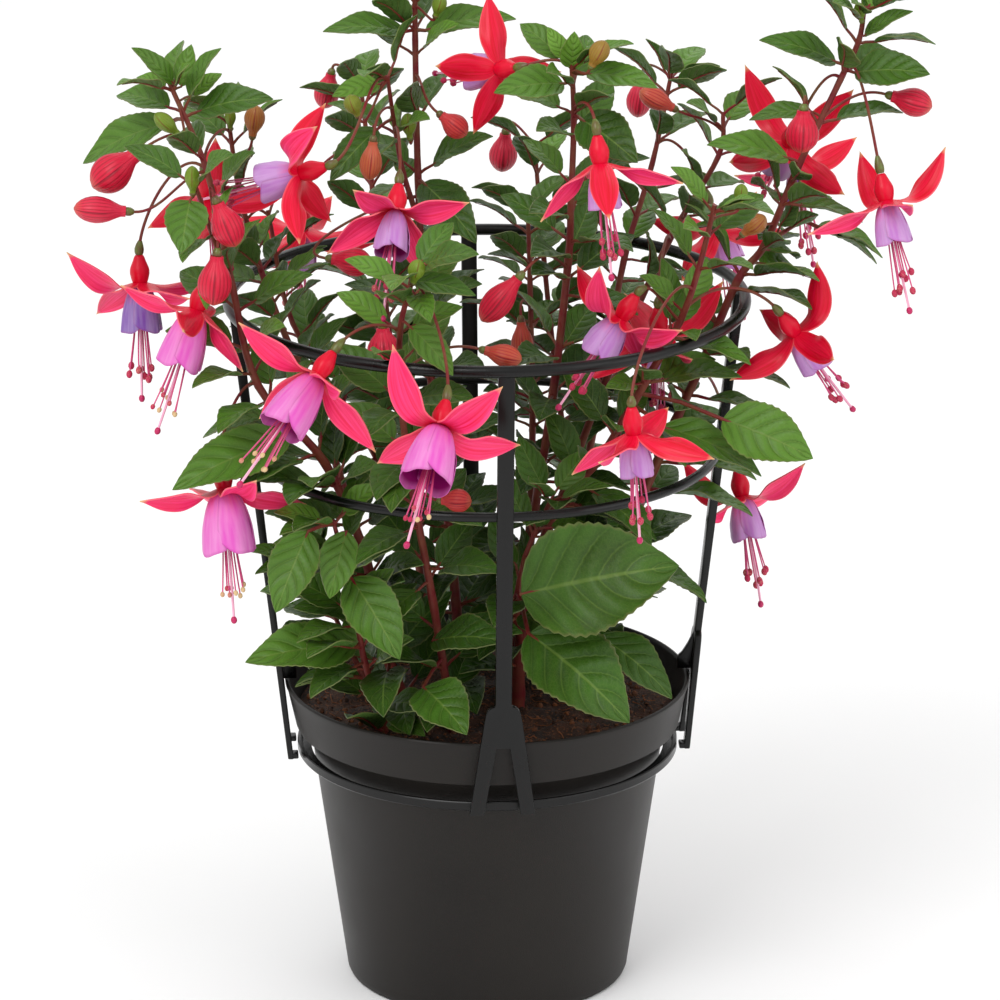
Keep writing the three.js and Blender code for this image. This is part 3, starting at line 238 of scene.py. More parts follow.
BUDS = [
    ("left_tall", (-118, -43, 376), (-138, -42, 369), (-158, -44, 354), 7.4),
    ("left_tall", (-112, -45, 361), (-141, -52, 346), (-165, -54, 348), 5.3),
    ("left_tall", (-109, -60, 334), (-107, -84, 361), (-99, -86, 341), 6.3),
    ("left_tall", (-109, -68, 341), (-106, -88, 341), (-108, -90, 318), 6.5),
    ("left_tall", (-103, 12, 345), (-96, 5, 361), (-94, 3, 376), 4.1),
    ("centre", (-28, -6, 340), (-65, -42, 324), (-46, -44, 322), 5.7),
    ("centre", (-27, -10, 300), (-42, -48, 299), (-41, -50, 281), 6.5),
    ("centre", (-38, -17, 380), (-45, -46, 376), (-47, -48, 358), 4.3),
    ("centre", (-40, -20, 392), (-51, -38, 381), (-55, -40, 391), 3.5),
    ("centre", (-29, -1, 390), (-20, -20, 379), (-8, -22, 370), 4.7),
    ("front", (-34, -90, 290), (-3, -93, 301), (14, -95, 297), 4.5),
    ("front", (-30, -68, 236), (-20, -80, 234), (-6, -82, 234), 4.7),
    ("upright", (33, -30, 316), (15, -62, 324), (-2, -64, 304), 5.7),
    ("upright", (34, -40, 400), (41, -54, 405), (47, -56, 417), 3.9),
    ("upright", (17, 36, 280), (14, 10, 285), (15, 8, 265), 4.5),
    ("right_tall", (136, -2, 372), (162, -2, 382), (181, -4, 377), 5.7),
    ("right_tall", (132, -4, 362), (128, -22, 383), (127, -24, 363), 6.5),
    ("right_tall", (117, -3, 328), (103, -20, 327), (113, -22, 336), 4.1),
    ("right_front", (97, 38, 356), (79, 30, 367), (63, 28, 376), 4.5),
    ("back_left", (-54, 102, 360), (-66, 108, 366), (-70, 110, 348), 5.2),
    ("back_right", (78, 92, 366), (66, 108, 364), (64, 110, 344), 5.2),
    ("back_right", (20, 92, 336), (8, 108, 340), (6, 110, 320), 5.8),
]

# Smallest leaves and buds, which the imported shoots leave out
SMALL_LEAVES = [
    ("left_tall", (-122, -38, 394), (-118, -32, 410), 0.5, 0.5),
    ("left_tall", (-118, -36, 390), (-106, -32, 398), 0.5, 0.5),
    ("upright", (34, -40, 402), (35, -44, 418), 0.6, 0.7),
]

SMALL_BUDS = [
    ("left_tall", (-115, -75, 362), (-116, -77, 359), (-116, -79, 372), 2.9),
    ("left_tall", (-124, -41, 388), (-122, -48, 376), (-132, -50, 386), 3.3),
    ("left_tall", (-106, 15, 366), (-105, 12, 363), (-105, 10, 373), 2.2),
    ("centre", (-29, -2, 370), (-31, -16, 366), (-32, -18, 378), 3.1),
    ("centre", (-29, 0, 418), (-36, -3, 414), (-38, -5, 424), 2.9),
    ("centre", (-29, 0, 418), (-21, -4, 414), (-18, -6, 424), 2.9),
    ("front", (-29, -107, 336), (-29, -114, 333), (-26, -116, 344), 3.3),
    ("right_tall", (153, 0, 412), (152, -4, 412), (150, -6, 421), 2.2),
    ("right_front", (90, -58, 344), (101, -52, 348), (102, -54, 358), 2.7),
]

# A blade's veins: pairs, how far they slant and how they bend on their way out
VEIN_PAIRS = 6
VEIN_SLANT = 0.3
VEIN_BEND = 1.2

STEM_STEPS = 6
STALK_STEPS = 48
TUBE_HUG = math.radians(48)
PETAL_HALF = math.radians(64)
RING_STEPS = 144
RING_SIDES = 18
GUSSET_BOTTOM = 131.5
GUSSET_TOP = 153
GUSSET_THICK = 2.6

# In metres: how close a source leaf lies to its mesh, and how far before a bloom no leaf is added
SAME_POINT = 0.0003
BEFORE_BLOOM = 0.05
VIEW = Vector((0, 0.95, -0.31))
LAMP_AIM = Vector((0, 0, 0.22))
FILLED = {}

# Radii over the share of the way from stalk to tip
PETAL_PROFILE = [(0, 0.3), (0.07, 0.48), (0.16, 0.61), (0.3, 0.74), (0.45, 0.84), (0.6, 0.92), (0.75, 0.97),
                 (0.9, 1), (1, 0.98)]
TUBE_PROFILE = [(0, 1.6), (0.07, 2.15), (0.16, 2.5), (0.3, 3.15), (0.42, 3.7), (0.54, 3.95), (0.66, 3.9),
                (0.78, 3.6), (0.9, 3.2), (1, 2.7)]
BUD_PROFILE = [(0, 0.42), (0.1, 0.44), (0.2, 0.62), (0.32, 0.84), (0.45, 0.96), (0.56, 1), (0.68, 0.96),
               (0.79, 0.84), (0.88, 0.65), (0.95, 0.42), (0.985, 0.22), (1, 0.08)]
BUD_OVARY = [(0, 0.8), (0.3, 1.5), (0.7, 1.6), (1, 1.1)]
BLOOM_OVARY = [(0, 0.8), (0.25, 1.5), (0.6, OVARY_RADIUS), (0.85, 1.85), (1, 1.5)]


def mix(low, high, share):
    return low + (high - low) * share


def ease(low, high, value):
    """0 below low, 1 above high and a smooth step between them."""
    share = min(max((value - low) / (high - low), 0.0), 1.0)
    return share * share * (3 - 2 * share)


def along_table(table, place):
    """Value at a place in a table of (place, value), straight between its rows."""
    for (start, low), (end, high) in zip(table, table[1:]):
        if place <= end:
            return mix(low, high, (place - start) / (end - start))
    return table[-1][1]


def random_from(seed):
    """The part source's own seeded draws, so that its leaves are found again."""
    word = 0xFFFFFFFF
    state = seed

    def draw():
        nonlocal state
        state = (state + 0x6D2B79F5) & word
        mixed = ((state ^ (state >> 15)) * (state | 1)) & word
        mixed ^= (mixed + (mixed ^ (mixed >> 7)) * (mixed | 61)) & word
        return (mixed ^ (mixed >> 14)) / (word + 1)

    return draw


# Meshes: each blade, rod or shell is a small closed bmesh, and a piece gathers many of them

def new_shell():
    """An empty bmesh with the layers that every shell has."""
    bm = bmesh.new()
    bm.loops.layers.uv.new(PLAN)
    bm.verts.layers.float_vector.new(FACTS)
    return bm


def mark(bm, facts):
    """Writes the same facts on every corner of a shell."""
    layer = bm.verts.layers.float_vector[FACTS]
    for vert in bm.verts:
        vert[layer] = facts
    return bm


def bent_grid(across, along, place, facts=(0, 0, 0)):
    """A grid bent so that its point (u, v), each from 0 to 1, lands on place(u, v)."""
    bm = new_shell()
    plan = bm.loops.layers.uv[PLAN]
    bmesh.ops.create_grid(bm, x_segments=across, y_segments=along, size=0.5)
    for face in bm.faces:
        for loop in face.loops:
            loop[plan].uv = (loop.vert.co.x + 0.5, loop.vert.co.y + 0.5)
    for vert in bm.verts:
        vert.co = place(vert.co.x + 0.5, vert.co.y + 0.5) * MM
    bmesh.ops.remove_doubles(bm, verts=bm.verts[:], dist=WELD)
    return mark(bm, facts)


def thicken(bm, thickness):
    """Gives an open blade its wall; the third fact of the new skin becomes 1."""
    before = set(bm.verts)
    bmesh.ops.solidify(bm, geom=bm.faces[:], thickness=thickness * MM)
    layer = bm.verts.layers.float_vector[FACTS]
    for vert in bm.verts:
        if vert not in before:
            vert[layer] = (vert[layer].x, vert[layer].y, 1)
    return bm


def rod(path, radii, sides, facts=(0, 0, 0), ridge=None):
    """A round rod along a path, with radii as a table over the path's share, closed at both ends."""
    last = len(path) - 1
    frames = []
    side = None
    for index, centre in enumerate(path):
        direction = (path[min(index + 1, last)] - path[max(index - 1, 0)]).normalized()
        if side is None:
            side = Vector((1, 0, 0)) if abs(direction.x) < 0.9 else Vector((0, 1, 0))
        side = (side - direction * side.dot(direction)).normalized()
        frames.append((centre, side, side.cross(direction)))

    def place(u, v):
        row = round(v * (last + 2)) - 1
        centre, first, second = frames[min(max(row, 0), last)]
        if row < 0 or row > last:
            return centre
        angle = 2 * math.pi * round(u * sides) / sides if u < 1 else 0
        radius = along_table(radii, row / last)
        if ridge:
            radius *= ridge(angle, row / last)
        return centre + (first * math.cos(angle) + second * math.sin(angle)) * radius

    bm = bent_grid(sides, last + 2, place, facts)
    bmesh.ops.recalc_face_normals(bm, faces=bm.faces[:])
    return bm


def turned(outline, steps):
    """A closed outline of (radius, height) spun about Z."""
    bm = new_shell()
    verts = [bm.verts.new((radius * MM, 0, height * MM)) for radius, height in outline]
    edges = [bm.edges.new(pair) for pair in zip(verts, verts[1:])]
    if outline[0][0] or outline[-1][0]:
        edges.append(bm.edges.new((verts[-1], verts[0])))
    bmesh.ops.spin(bm, geom=verts + edges, axis=(0, 0, 1), cent=(0, 0, 0), angle=2 * math.pi, steps=steps,
                   use_merge=True)
    bmesh.ops.remove_doubles(bm, verts=bm.verts[:], dist=WELD)
    bmesh.ops.recalc_face_normals(bm, faces=bm.faces[:])
    return bm


def knob(centre, axis, radius, length, facts):
    """A small egg along an axis."""
    bm = new_shell()
    turn = Vector((0, 0, 1)).rotation_difference(axis).to_matrix().to_4x4()
    shape = Matrix.Diagonal((radius * MM, radius * MM, length / 2 * MM, 1))
    bmesh.ops.create_uvsphere(bm, u_segments=7, v_segments=5, radius=1,
                              matrix=Matrix.Translation(centre * MM) @ turn @ shape)
    return mark(bm, facts)


def add_object(name, data):
    made = bpy.data.objects.new(name, data)
    bpy.context.scene.collection.objects.link(made)
    return made


class Piece:
    """Gathers small shells into one mesh object that rides on the plant."""

    def __init__(self, name):
        self.name = name
        self.bm = bmesh.new()

    def add(self, part, material=0):
        for face in part.faces:
            face.material_index = material
        mesh = bpy.data.meshes.new("part")
        part.to_mesh(mesh)
        part.free()
        self.bm.from_mesh(mesh)
        bpy.data.meshes.remove(mesh)

    def finish(self, materials, nodes, sharp=50):
        mesh = bpy.data.meshes.new(self.name)
        self.bm.to_mesh(mesh)
        self.bm.free()
        for material in materials:
            mesh.materials.append(material)
        mesh.shade_smooth()
        mesh.set_sharp_from_angle(angle=math.radians(sharp))
        piece = add_object(self.name, mesh)
        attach(piece, "root")
        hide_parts(*nodes)
        return piece


# Stems

@lru_cache(maxsize=None)
def stem_path(shoot, index):
    """A stem's points joined by a smooth line."""
    points = [Vector(point) for point in SHOOTS[shoot].stems[index].points]
    ends = [points[0] * 2 - points[1], *points, points[-1] * 2 - points[-2]]
    path = []
    for before, start, end, after in zip(ends, ends[1:], ends[2:], ends[3:]):
        for step in range(STEM_STEPS):
            path.append(catmull(before, start, end, after, step / STEM_STEPS))
    return [*path, points[-1]]


def catmull(before, start, end, after, t):
    first, second = (end - before) / 2, (after - start) / 2
    cubic = 2 * (start - end) + first + second
    square = 3 * (end - start) - 2 * first - second
    return ((cubic * t + square) * t + first) * t + start


def on_stem(stem, t):
    """Point on the straight stretches of a stem, and the direction of its smooth line there."""
    points = [Vector(point) for point in stem.points]
    place = min(t, 0.9999) * (len(points) - 1)
    index = int(place)
    ends = [points[0] * 2 - points[1], *points, points[-1] * 2 - points[-2]]
    step = 1e-4 * (len(points) - 1)
    smooth = [catmull(*ends[index:index + 4], place - index + change) for change in (-step, step)]
    return points[index].lerp(points[index + 1], place - index), (smooth[1] - smooth[0]).normalized()


def nearest(paths, target):
    """Nearest point to a target on any of some paths of straight stretches."""
    best, distance = None, math.inf
    for path in paths:
        for start, end in zip(path, path[1:]):
            point, share = geometry.intersect_point_line(target, start, end)
            point = start if share < 0 else end if share > 1 else point
            if (point - target).length < distance:
                best, distance = point, (point - target).length
    return best


def run_of(path):
    return sum((end - start).length for start, end in zip(path, path[1:]))


def straight_paths(shoot):
    return [[Vector(point) for point in stem.points] for stem in SHOOTS[shoot].stems]


def smooth_paths(shoot):
    return [stem_path(shoot, index) for index in range(len(SHOOTS[shoot].stems))]


# Leaves

class LeafFrame:
    """Axes and sizes of a leaf, worked out once for all its points."""

    def __init__(self, leaf):
        chord = leaf.tip - leaf.base
        self.leaf = leaf
        self.span = chord.length
        self.along = chord.normalized()
        self.up = (leaf.up - self.along * leaf.up.dot(self.along)).normalized()
        self.side = self.along.cross(self.up)
        self.half = leaf.droop / 2
        self.length = self.span * self.half / math.sin(self.half)

    def point(self, s, v, relief=0.0, tooth=0.0):
        leaf, length = self.leaf, self.length
        angle = leaf.droop * (0.5 - s)
        forward = length * (math.sin(self.half) - math.sin(angle)) / leaf.droop
        rise = length * (math.cos(angle) - math.cos(self.half)) / leaf.droop
        width = length * leaf.share * 0.5 * max(math.sin(math.pi * s ** 0.75), 0) ** 0.9
        wave = LEAF_WAVE * math.sin(s * 11 + leaf.phase) * v * v
        lift = width * (LEAF_FOLD * abs(v) + wave + relief)
        local = self.up * math.cos(angle) - self.along * math.sin(angle)
        place = leaf.base + self.along * forward + self.up * rise
        return place + self.side * (width * v * (1 + tooth)) + local * lift


def leaf_try(leaf, swing, pitch, size):
    """One try of a leaf: turned about its root on the stem, and scaled."""
    along = (leaf.tip - leaf.origin).normalized()
    up = (leaf.up - along * leaf.up.dot(along)).normalized()
    turn = Quaternion(along.cross(up), math.radians(pitch)) @ Quaternion(up, math.radians(swing))
    moved = [leaf.origin + turn @ ((point - leaf.origin) * size) for point in (leaf.base, leaf.tip)]
    return leaf._replace(base=moved[0], tip=moved[1])


def paired_leaves(stem, random, nodes, first=0.3, last=0.96, size=1.0):
    """Opposite pairs of leaves along a stem, each pair square to the one below."""
    leaves = []
    for node in range(nodes):
        t = first + (last - first) * (node + 0.5 * random()) / max(nodes - 1, 1)
        origin, along = on_stem(stem, min(t, 0.985))
        side = along.cross(Vector((0, 1, 0))).normalized()
        across = along.cross(side)
        length = mix(*stem.leaves, t) * size
        for turn in (0, math.pi):
            around = node * math.pi / 2 + turn + 0.7 + random() * 0.7
            out = side * math.cos(around) + across * math.sin(around)
            climb = 0.1 + 0.5 * t + 0.3 * random()
            aim = (out + along * climb).normalized()
            base = origin + aim * (0.26 * length)
            tip = base + aim * (length * (0.9 + 0.2 * random()))
            tip.z -= 0.16 * length
            outward = Vector((origin.x + out.x * 60, origin.y + out.y * 60, 0)).normalized()
            up = Vector((0, 0, 0.75)) + outward * 0.55
            leaves.append(Leaf(origin, base, tip, up, 0.46 + 0.08 * random(), 0.7, 6 * random()))
    return leaves


def shown_leaf(wanted, index):
    """A listed leaf, placed from its row in a table."""
    shoot, base, tip, share, facing = wanted
    up = Vector((0, -facing, 1 - facing * 0.6))
    origin = nearest(straight_paths(shoot), Vector(base))
    return Leaf(origin, Vector(base), Vector(tip), up, share, 0.6, index * 1.7)


def source_leaves(shoot):
    """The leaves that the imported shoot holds: each wanted leaf at the try whose points are found in its mesh."""
    mesh = NODES[f"shoot_{shoot}"].data
    tree = KDTree(len(mesh.vertices))
    for index, vertex in enumerate(mesh.vertices):
        tree.insert(vertex.co, index)
    tree.balance()
    wanted = [shown_leaf(each, index) for index, each in enumerate(SHOWN_LEAVES) if each[0] == shoot]
    random = random_from(SHOOTS[shoot].seed)
    for stem in SHOOTS[shoot].stems:
        wanted += paired_leaves(stem, random, stem.nodes)
    kept = []
    for leaf in wanted:
        for change in LEAF_TRIES:
            moved = leaf_try(leaf, *change)
            shape = LeafFrame(moved)
            marks = (moved.tip, shape.point(0.2, -1 - LEAF_TOOTH))
            if max(tree.find(mark * MM)[2] for mark in marks) < SAME_POINT:
                kept.append(moved)
                break
    return kept


def leaf_blade(leaf, across, along, facts, thickness, fine=True):
    """Blade with veins raised in its form and a fine saw edge."""
    shape = LeafFrame(leaf)
    teeth = 0.024 if fine else 0.0

    def place(u, s):
        v = 2 * u - 1
        row = round(s * along)
        edge = abs(v) > 0.999 and 0 < row < along
        tooth = (teeth if row % 2 else -teeth) if edge else 0
        pillow = 0.5 + 0.5 * math.cos(2 * math.pi * VEIN_PAIRS * (s - VEIN_SLANT * abs(v) ** VEIN_BEND))
        relief = -0.14 * pillow * math.sin(math.pi * min(abs(v), 1)) ** 0.7 * ease(0, 0.1, s) if fine else 0
        return shape.point(s, v, relief, tooth)

    bm = bent_grid(across, along, place, facts)
    return thicken(bm, thickness) if thickness else bm


def leaf_stalk(shoot, leaf, thickness):
    """Stalk from the stem that runs on as the midrib under the blade."""
    shape = LeafFrame(leaf)
    start = nearest(smooth_paths(shoot), leaf.origin)
    reach = (leaf.base - start).length
    middle = start.lerp(leaf.base, 0.5) + Vector((0, 0, 0.05 * reach))
    path = [start, middle, leaf.base]
    for s in (0.1, 0.25, 0.45, 0.65, 0.88):
        angle = leaf.droop * (0.5 - s)
        local = shape.up * math.cos(angle) - shape.along * math.sin(angle)
        path.append(shape.point(s, 0) - local * (thickness + 0.2))
    thick = mix(0.45, 0.85, ease(12, 50, shape.span))
    return rod(path, [(0, 1.2 * thick), (0.3, thick), (1, 0.16)], 6, (0, 0, 0))


# Blooms

@lru_cache(maxsize=None)
def bloom_axes(bloom):
    tilt, turn = math.radians(bloom.lean), math.radians(bloom.heading)
    down = Vector((math.sin(tilt) * math.cos(turn), math.sin(tilt) * math.sin(turn), -math.cos(tilt)))
    guide = Vector((0, 1, 0)) if abs(down.y) < 0.9 else Vector((1, 0, 0))
    first = guide.cross(down).normalized()
    return down, first, down.cross(first)


def round_bloom(bloom, angle):
    """Direction square to a bloom's axis at an angle in radians."""
    _, first, second = bloom_axes(bloom)
    return first * math.cos(angle) + second * math.sin(angle)


def sepal_turn(down, out, lift):
    """Turn of a sepal about its own length, towards showing its face to the front."""
    front = Vector((0, -1, 0))
    along = down * math.cos(lift) + out * math.sin(lift)
    face = down * math.sin(lift) - out * math.cos(lift)
    edge_on, face_on = along.cross(face).dot(front), face.dot(front)
    full = math.atan2(edge_on * math.copysign(1, face_on), abs(face_on))
    return min(max(0.7 * full, -SEPAL_TURN), SEPAL_TURN)


def sepal(bloom, index, settings):
    """Sepal that wraps the tube at its root, flares out and bends to its own lift."""
    down = bloom_axes(bloom)[0]
    around = math.radians(bloom.roll + index * 90)
    out = round_bloom(bloom, around)
    side = down.cross(out)
    lift = math.radians(bloom.lifts[index])
    turn = sepal_turn(down, out, lift)
    slim = 0.98 if bloom.tint == "violet" else 0.88
    rows = settings.sepal_rows
    spine = []
    for row in range(rows + 1):
        s = row / rows
        deep, wide, bend = 0.0, float(FLARE_RADIUS), FLARE_START
        for step in range(12):
            middle = s * (step + 0.5) / 12
            bend = lift + (FLARE_START - lift) * (1 - middle) ** 3
            deep += math.cos(bend) * bloom.sepal * s / 12
            wide += math.sin(bend) * bloom.sepal * s / 12
        spin = Quaternion(down * math.cos(bend) + out * math.sin(bend), turn * ease(0.05, 0.5, s))
        inward = spin @ (down * math.sin(bend) - out * math.cos(bend))
        spine.append((deep, wide, spin @ side, inward))

    def place(u, s):
        v = 2 * u - 1
        deep, wide, edge, inward = spine[round(s * rows)]
        half = SEPAL_HALF * (0.28 + 0.72 * math.sin(math.pi * min(s * 1.05, 1) ** 0.8))
        width = half * (1 - s ** 9) * slim
        trough = SEPAL_CUP * abs(v) ** 1.6 + 0.06 * v * v * math.sin(9 * s + index * 2 + bloom.roll)
        ribs = 0.03 * math.cos(3 * math.pi * v) * ease(0.1, 0.4, s)
        centre = Vector(bloom.at) + down * deep
        plain = centre + out * wide + edge * (v * width) + inward * (width * (trough + ribs))
        angle = v * TUBE_HUG
        wrapped = centre + (out * math.cos(angle) + side * math.sin(angle)) * wide
        return plain.lerp(wrapped, 1 - ease(0.02, 0.24, s))

    return thicken(bent_grid(settings.sepal_columns, rows, place, (index / 4, 0, 0)), settings.sepal_thickness * 1000)


def tube_ribs(angle, at):
    return 1 + 0.03 * math.cos(4 * angle + 0.6) * ease(0.2, 0.6, at)


def calyx_tube(bloom):
    down = bloom_axes(bloom)[0]
    path = [Vector(bloom.at) + down * mix(-TUBE_LENGTH - 0.2, 0.5, step / 15) for step in range(16)]
    return rod(path, TUBE_PROFILE, 20, (0.5, 1, 0), tube_ribs)


def petal(bloom, index, settings):
    """One of four petals that wrap the skirt, each with one edge over its neighbour."""
    down = bloom_axes(bloom)[0]
    radius, length = bloom.skirt
    centre = math.radians(45 + 90 * index)
    phase = bloom.roll + index * 1.9

    def place(u, t):
        v = 2 * u - 1
        angle = centre + v * PETAL_HALF
        swell = 1.05 - 0.1 * min(abs(v) / 0.7, 1) ** 1.6
        bell = radius * along_table(PETAL_PROFILE, t) * swell
        bell += 0.72 * v * math.sqrt(t) - 0.9 * v * v * ease(0.6, 1, t) + 0.5 * t ** 9
        bell += (0.4 * math.sin(5 * angle + phase) - 0.5 * math.exp(-(v / 0.16) ** 2)) * ease(0.3, 1, t)
        rim = (0.07 - 0.24 * v * v + 0.015 * math.sin(7 * v + phase)) * t ** 3
        deep = SKIRT_GAP + (length - SKIRT_GAP) * (t + rim)
        return Vector(bloom.at) + down * deep + round_bloom(bloom, angle) * max(bell, 1.6)

    grid = bent_grid(settings.petal_columns, settings.petal_rows, place, (index / 4, 0, 0))
    return thicken(grid, settings.petal_thickness * 1000)


def strands(bloom, settings):
    """Stamens and pistil as (rod, knob) pairs, the pistil last."""
    down = bloom_axes(bloom)[0]
    radius, length = bloom.skirt
    random = random_from(int(bloom.roll * 7 + bloom.sepal))
    at = Vector(bloom.at)
    made = []
    for index in range(settings.stamens + 1):
        pistil = index == settings.stamens
        angle = math.radians(bloom.roll + 40 + index * 360 / settings.stamens) + 0.5 * random()
        out = round_bloom(bloom, angle)
        reach = 28 if pistil else mix(12, 21, random())
        spread = 1.0 if pistil else mix(2.2, min(radius * 0.75, 6), random())
        inner = 0.2 if pistil else 1.7
        end = at + down * (length + reach) + out * spread
        bend = round_bloom(bloom, angle + 1.2) * mix(-1, 1, random())
        path = geometry.interpolate_bezier(
            at + down * 1.5 + out * inner * 0.5, at + down * (length * 0.6) + out * inner,
            at + down * (length + reach * 0.3) + out * mix(inner, spread, 0.55) + bend, end, 9)
        thick = settings.pistil_radius * 1000 if pistil else settings.stamen_radius * 1000
        axis = (end - path[-2]).normalized()
        if pistil:
            tip = knob(end + axis * 0.6, axis, 1.35, 3.2, (0.2, 0, 0))
        else:
            lean = (axis + bend * 0.3).normalized()
            young = bloom.tint != "violet"
            tip = knob(end + axis * 0.3, lean, 1.35 if young else 1.0, 3.4 if young else 2.4,
                       (random() * (0.4 if young else 1.0), 0, 0))
        made.append((rod(path, [(0, thick), (1, thick * 0.8)], 5, (random(), float(pistil), 0)), tip, pistil))
    return made


def bloom_stalks(shoot):
    return [bloom_stalk(bloom) for bloom in BLOOMS if bloom.shoot == shoot]


def bud_stalks(shoot):
    """Path, body's share and radius of each bud on a shoot."""
    return [(*bud_stalk(bud), bud[-1]) for bud in BUDS + SMALL_BUDS if bud[0] == shoot]


def bloom_stalk(bloom):
    """Path of a flower stalk that arches from its stem and ends at the tube, and the ovary's share of it."""
    down = bloom_axes(bloom)[0]
    end = Vector(bloom.at) - down * (TUBE_LENGTH + STALK_CLEARANCE)
    start = nearest(smooth_paths(bloom.shoot), nearest(straight_paths(bloom.shoot), Vector(bloom.axil)))
    reach = (end - start).length
    level = Vector((end.x - start.x, end.y - start.y, 0)) * 0.35
    rise = start + level + Vector((0, 0, reach * 0.22))
    fall = end - down * min(reach * 0.4, 16)
    return geometry.interpolate_bezier(start, rise, fall, end, 41), min(OVARY_LENGTH / reach, 0.4)


def bud_stalk(bud):
    """Path of a bud's stalk and body, and the body's share of it."""
    shoot, axil, top, tip, _ = bud
    start = nearest(smooth_paths(shoot), nearest(straight_paths(shoot), Vector(axil)))
    top, end = Vector(top), Vector(tip)
    down = (end - top).normalized()
    reach = (top - start).length
    rise = start.lerp(top, 0.35) + Vector((0, 0, reach * 0.16))
    path = geometry.interpolate_bezier(start, rise, top - down * (0.35 * reach), top, STALK_STEPS + 1)
    steps = max(round(STALK_STEPS * (end - top).length / run_of(path)), 8)
    path += [top.lerp(end, (step + 1) / steps) for step in range(steps)]
    return path, steps / (steps + STALK_STEPS)


def cut(path, start, end, count):
    """Evenly spaced points of a path between two shares of it."""
    last = len(path) - 1
    points = []
    for index in range(count):
        place = min(mix(start, end, index / (count - 1)), 1) * last
        low = min(int(place), last - 1)
        points.append(path[low].lerp(path[low + 1], place - low))
    return points


# Finishes

def srgb(red, green, blue):
    """Linear colour from the 0 to 255 values of a picture."""
    shares = (value / 255 for value in (red, green, blue))
    return tuple(x / 12.92 if x <= 0.04045 else ((x + 0.055) / 1.055) ** 2.4 for x in shares)


class Wire:
    """A node's output that can be reckoned with: each sum adds a node."""

    def __init__(self, socket):
        self.socket, self.tree = socket, socket.id_data

    def __add__(self, other):
        return calc("ADD", self, other)

    def __mul__(self, other):
        return calc("MULTIPLY", self, other)

    def __rsub__(self, other):
        return calc("SUBTRACT", other, self)

    def __sub__(self, other):
        return calc("SUBTRACT", self, other)

    def __pow__(self, other):
        return calc("POWER", self, other)

    def __abs__(self):
        return calc("ABSOLUTE", self)

    def between(self, low, high):
        """0 at low and 1 at high, held at both ends."""
        return node(self.tree, "ShaderNodeMapRange", {"Value": self, "From Min": low, "From Max": high})


def node(tree, kind, inputs=(), output=0, **settings):
    made = tree.nodes.new(kind)
    for name, value in settings.items():
        setattr(made, name, value)
    for key, value in dict(inputs).items():
        if isinstance(value, Wire):
            tree.links.new(value.socket, made.inputs[key])
        else:
            made.inputs[key].default_value = value
    return Wire(made.outputs[output])


def calc(operation, *values):
    tree = next(value.tree for value in values if isinstance(value, Wire))
    return node(tree, "ShaderNodeMath", enumerate(values), operation=operation)


def tint(share, low, high):
    """Colour that goes from low to high with share."""
    low, high = (value if isinstance(value, Wire) else (*value, 1) for value in (low, high))
    return node(share.tree, "ShaderNodeMix", {0: share, 6: low, 7: high}, 2, data_type="RGBA")


def split(vector):
    """The three parts of a vector."""
    parts = node(vector.tree, "ShaderNodeSeparateXYZ", {0: vector}).socket.node.outputs
    return [Wire(part) for part in parts]


class Finish:
    """A new material: its shader, and what its pieces tell it."""

    def __init__(self, name, roughness, specular=0.5):
        self.material = bpy.data.materials.new(name)
        self.material.use_nodes = True
        self.tree = self.material.node_tree
        self.inputs = self.tree.nodes["Principled BSDF"].inputs
        self.inputs["Roughness"].default_value = roughness
        self.inputs["Specular IOR Level"].default_value = specular

    def place(self):
        """Place in the piece."""
        return node(self.tree, "ShaderNodeTexCoord", output="Object")

    def speckle(self, scale, detail=3, vector=None):
        """Noise over the piece, or over the vector given."""
        return node(self.tree, "ShaderNodeTexNoise",
                    {"Vector": vector or self.place(), "Scale": scale, "Detail": detail})

    def plan(self):
        """Across (-1 to 1), its distance from the rib, and along (0 to 1) of a blade or rod."""
        u, v, _ = split(node(self.tree, "ShaderNodeUVMap", uv_map=PLAN))
        across = calc("MULTIPLY_ADD", u, 2, -1)
        return across, abs(across), v

    def facts(self):
        """Tone, second fact and skin of a blade or rod."""
        return split(node(self.tree, "ShaderNodeAttribute", output="Vector", attribute_name=FACTS))

    def streaks(self, across, along, tone, fine, long):
        """Noise drawn out along a blade."""
        vector = node(self.tree, "ShaderNodeCombineXYZ", {0: across * fine, 1: along * long, 2: tone * 9})
        return self.speckle(1, 2, vector)

    def done(self, colour, height=None, distance=0, strength=1):
        """Joins the colour and the relief to the shader."""
        self.tree.links.new(colour.socket, self.inputs["Base Color"])
        if height:
            relief = node(self.tree, "ShaderNodeBump", {"Height": height, "Distance": distance, "Strength": strength})
            self.tree.links.new(relief.socket, self.inputs["Normal"])
        return self.material


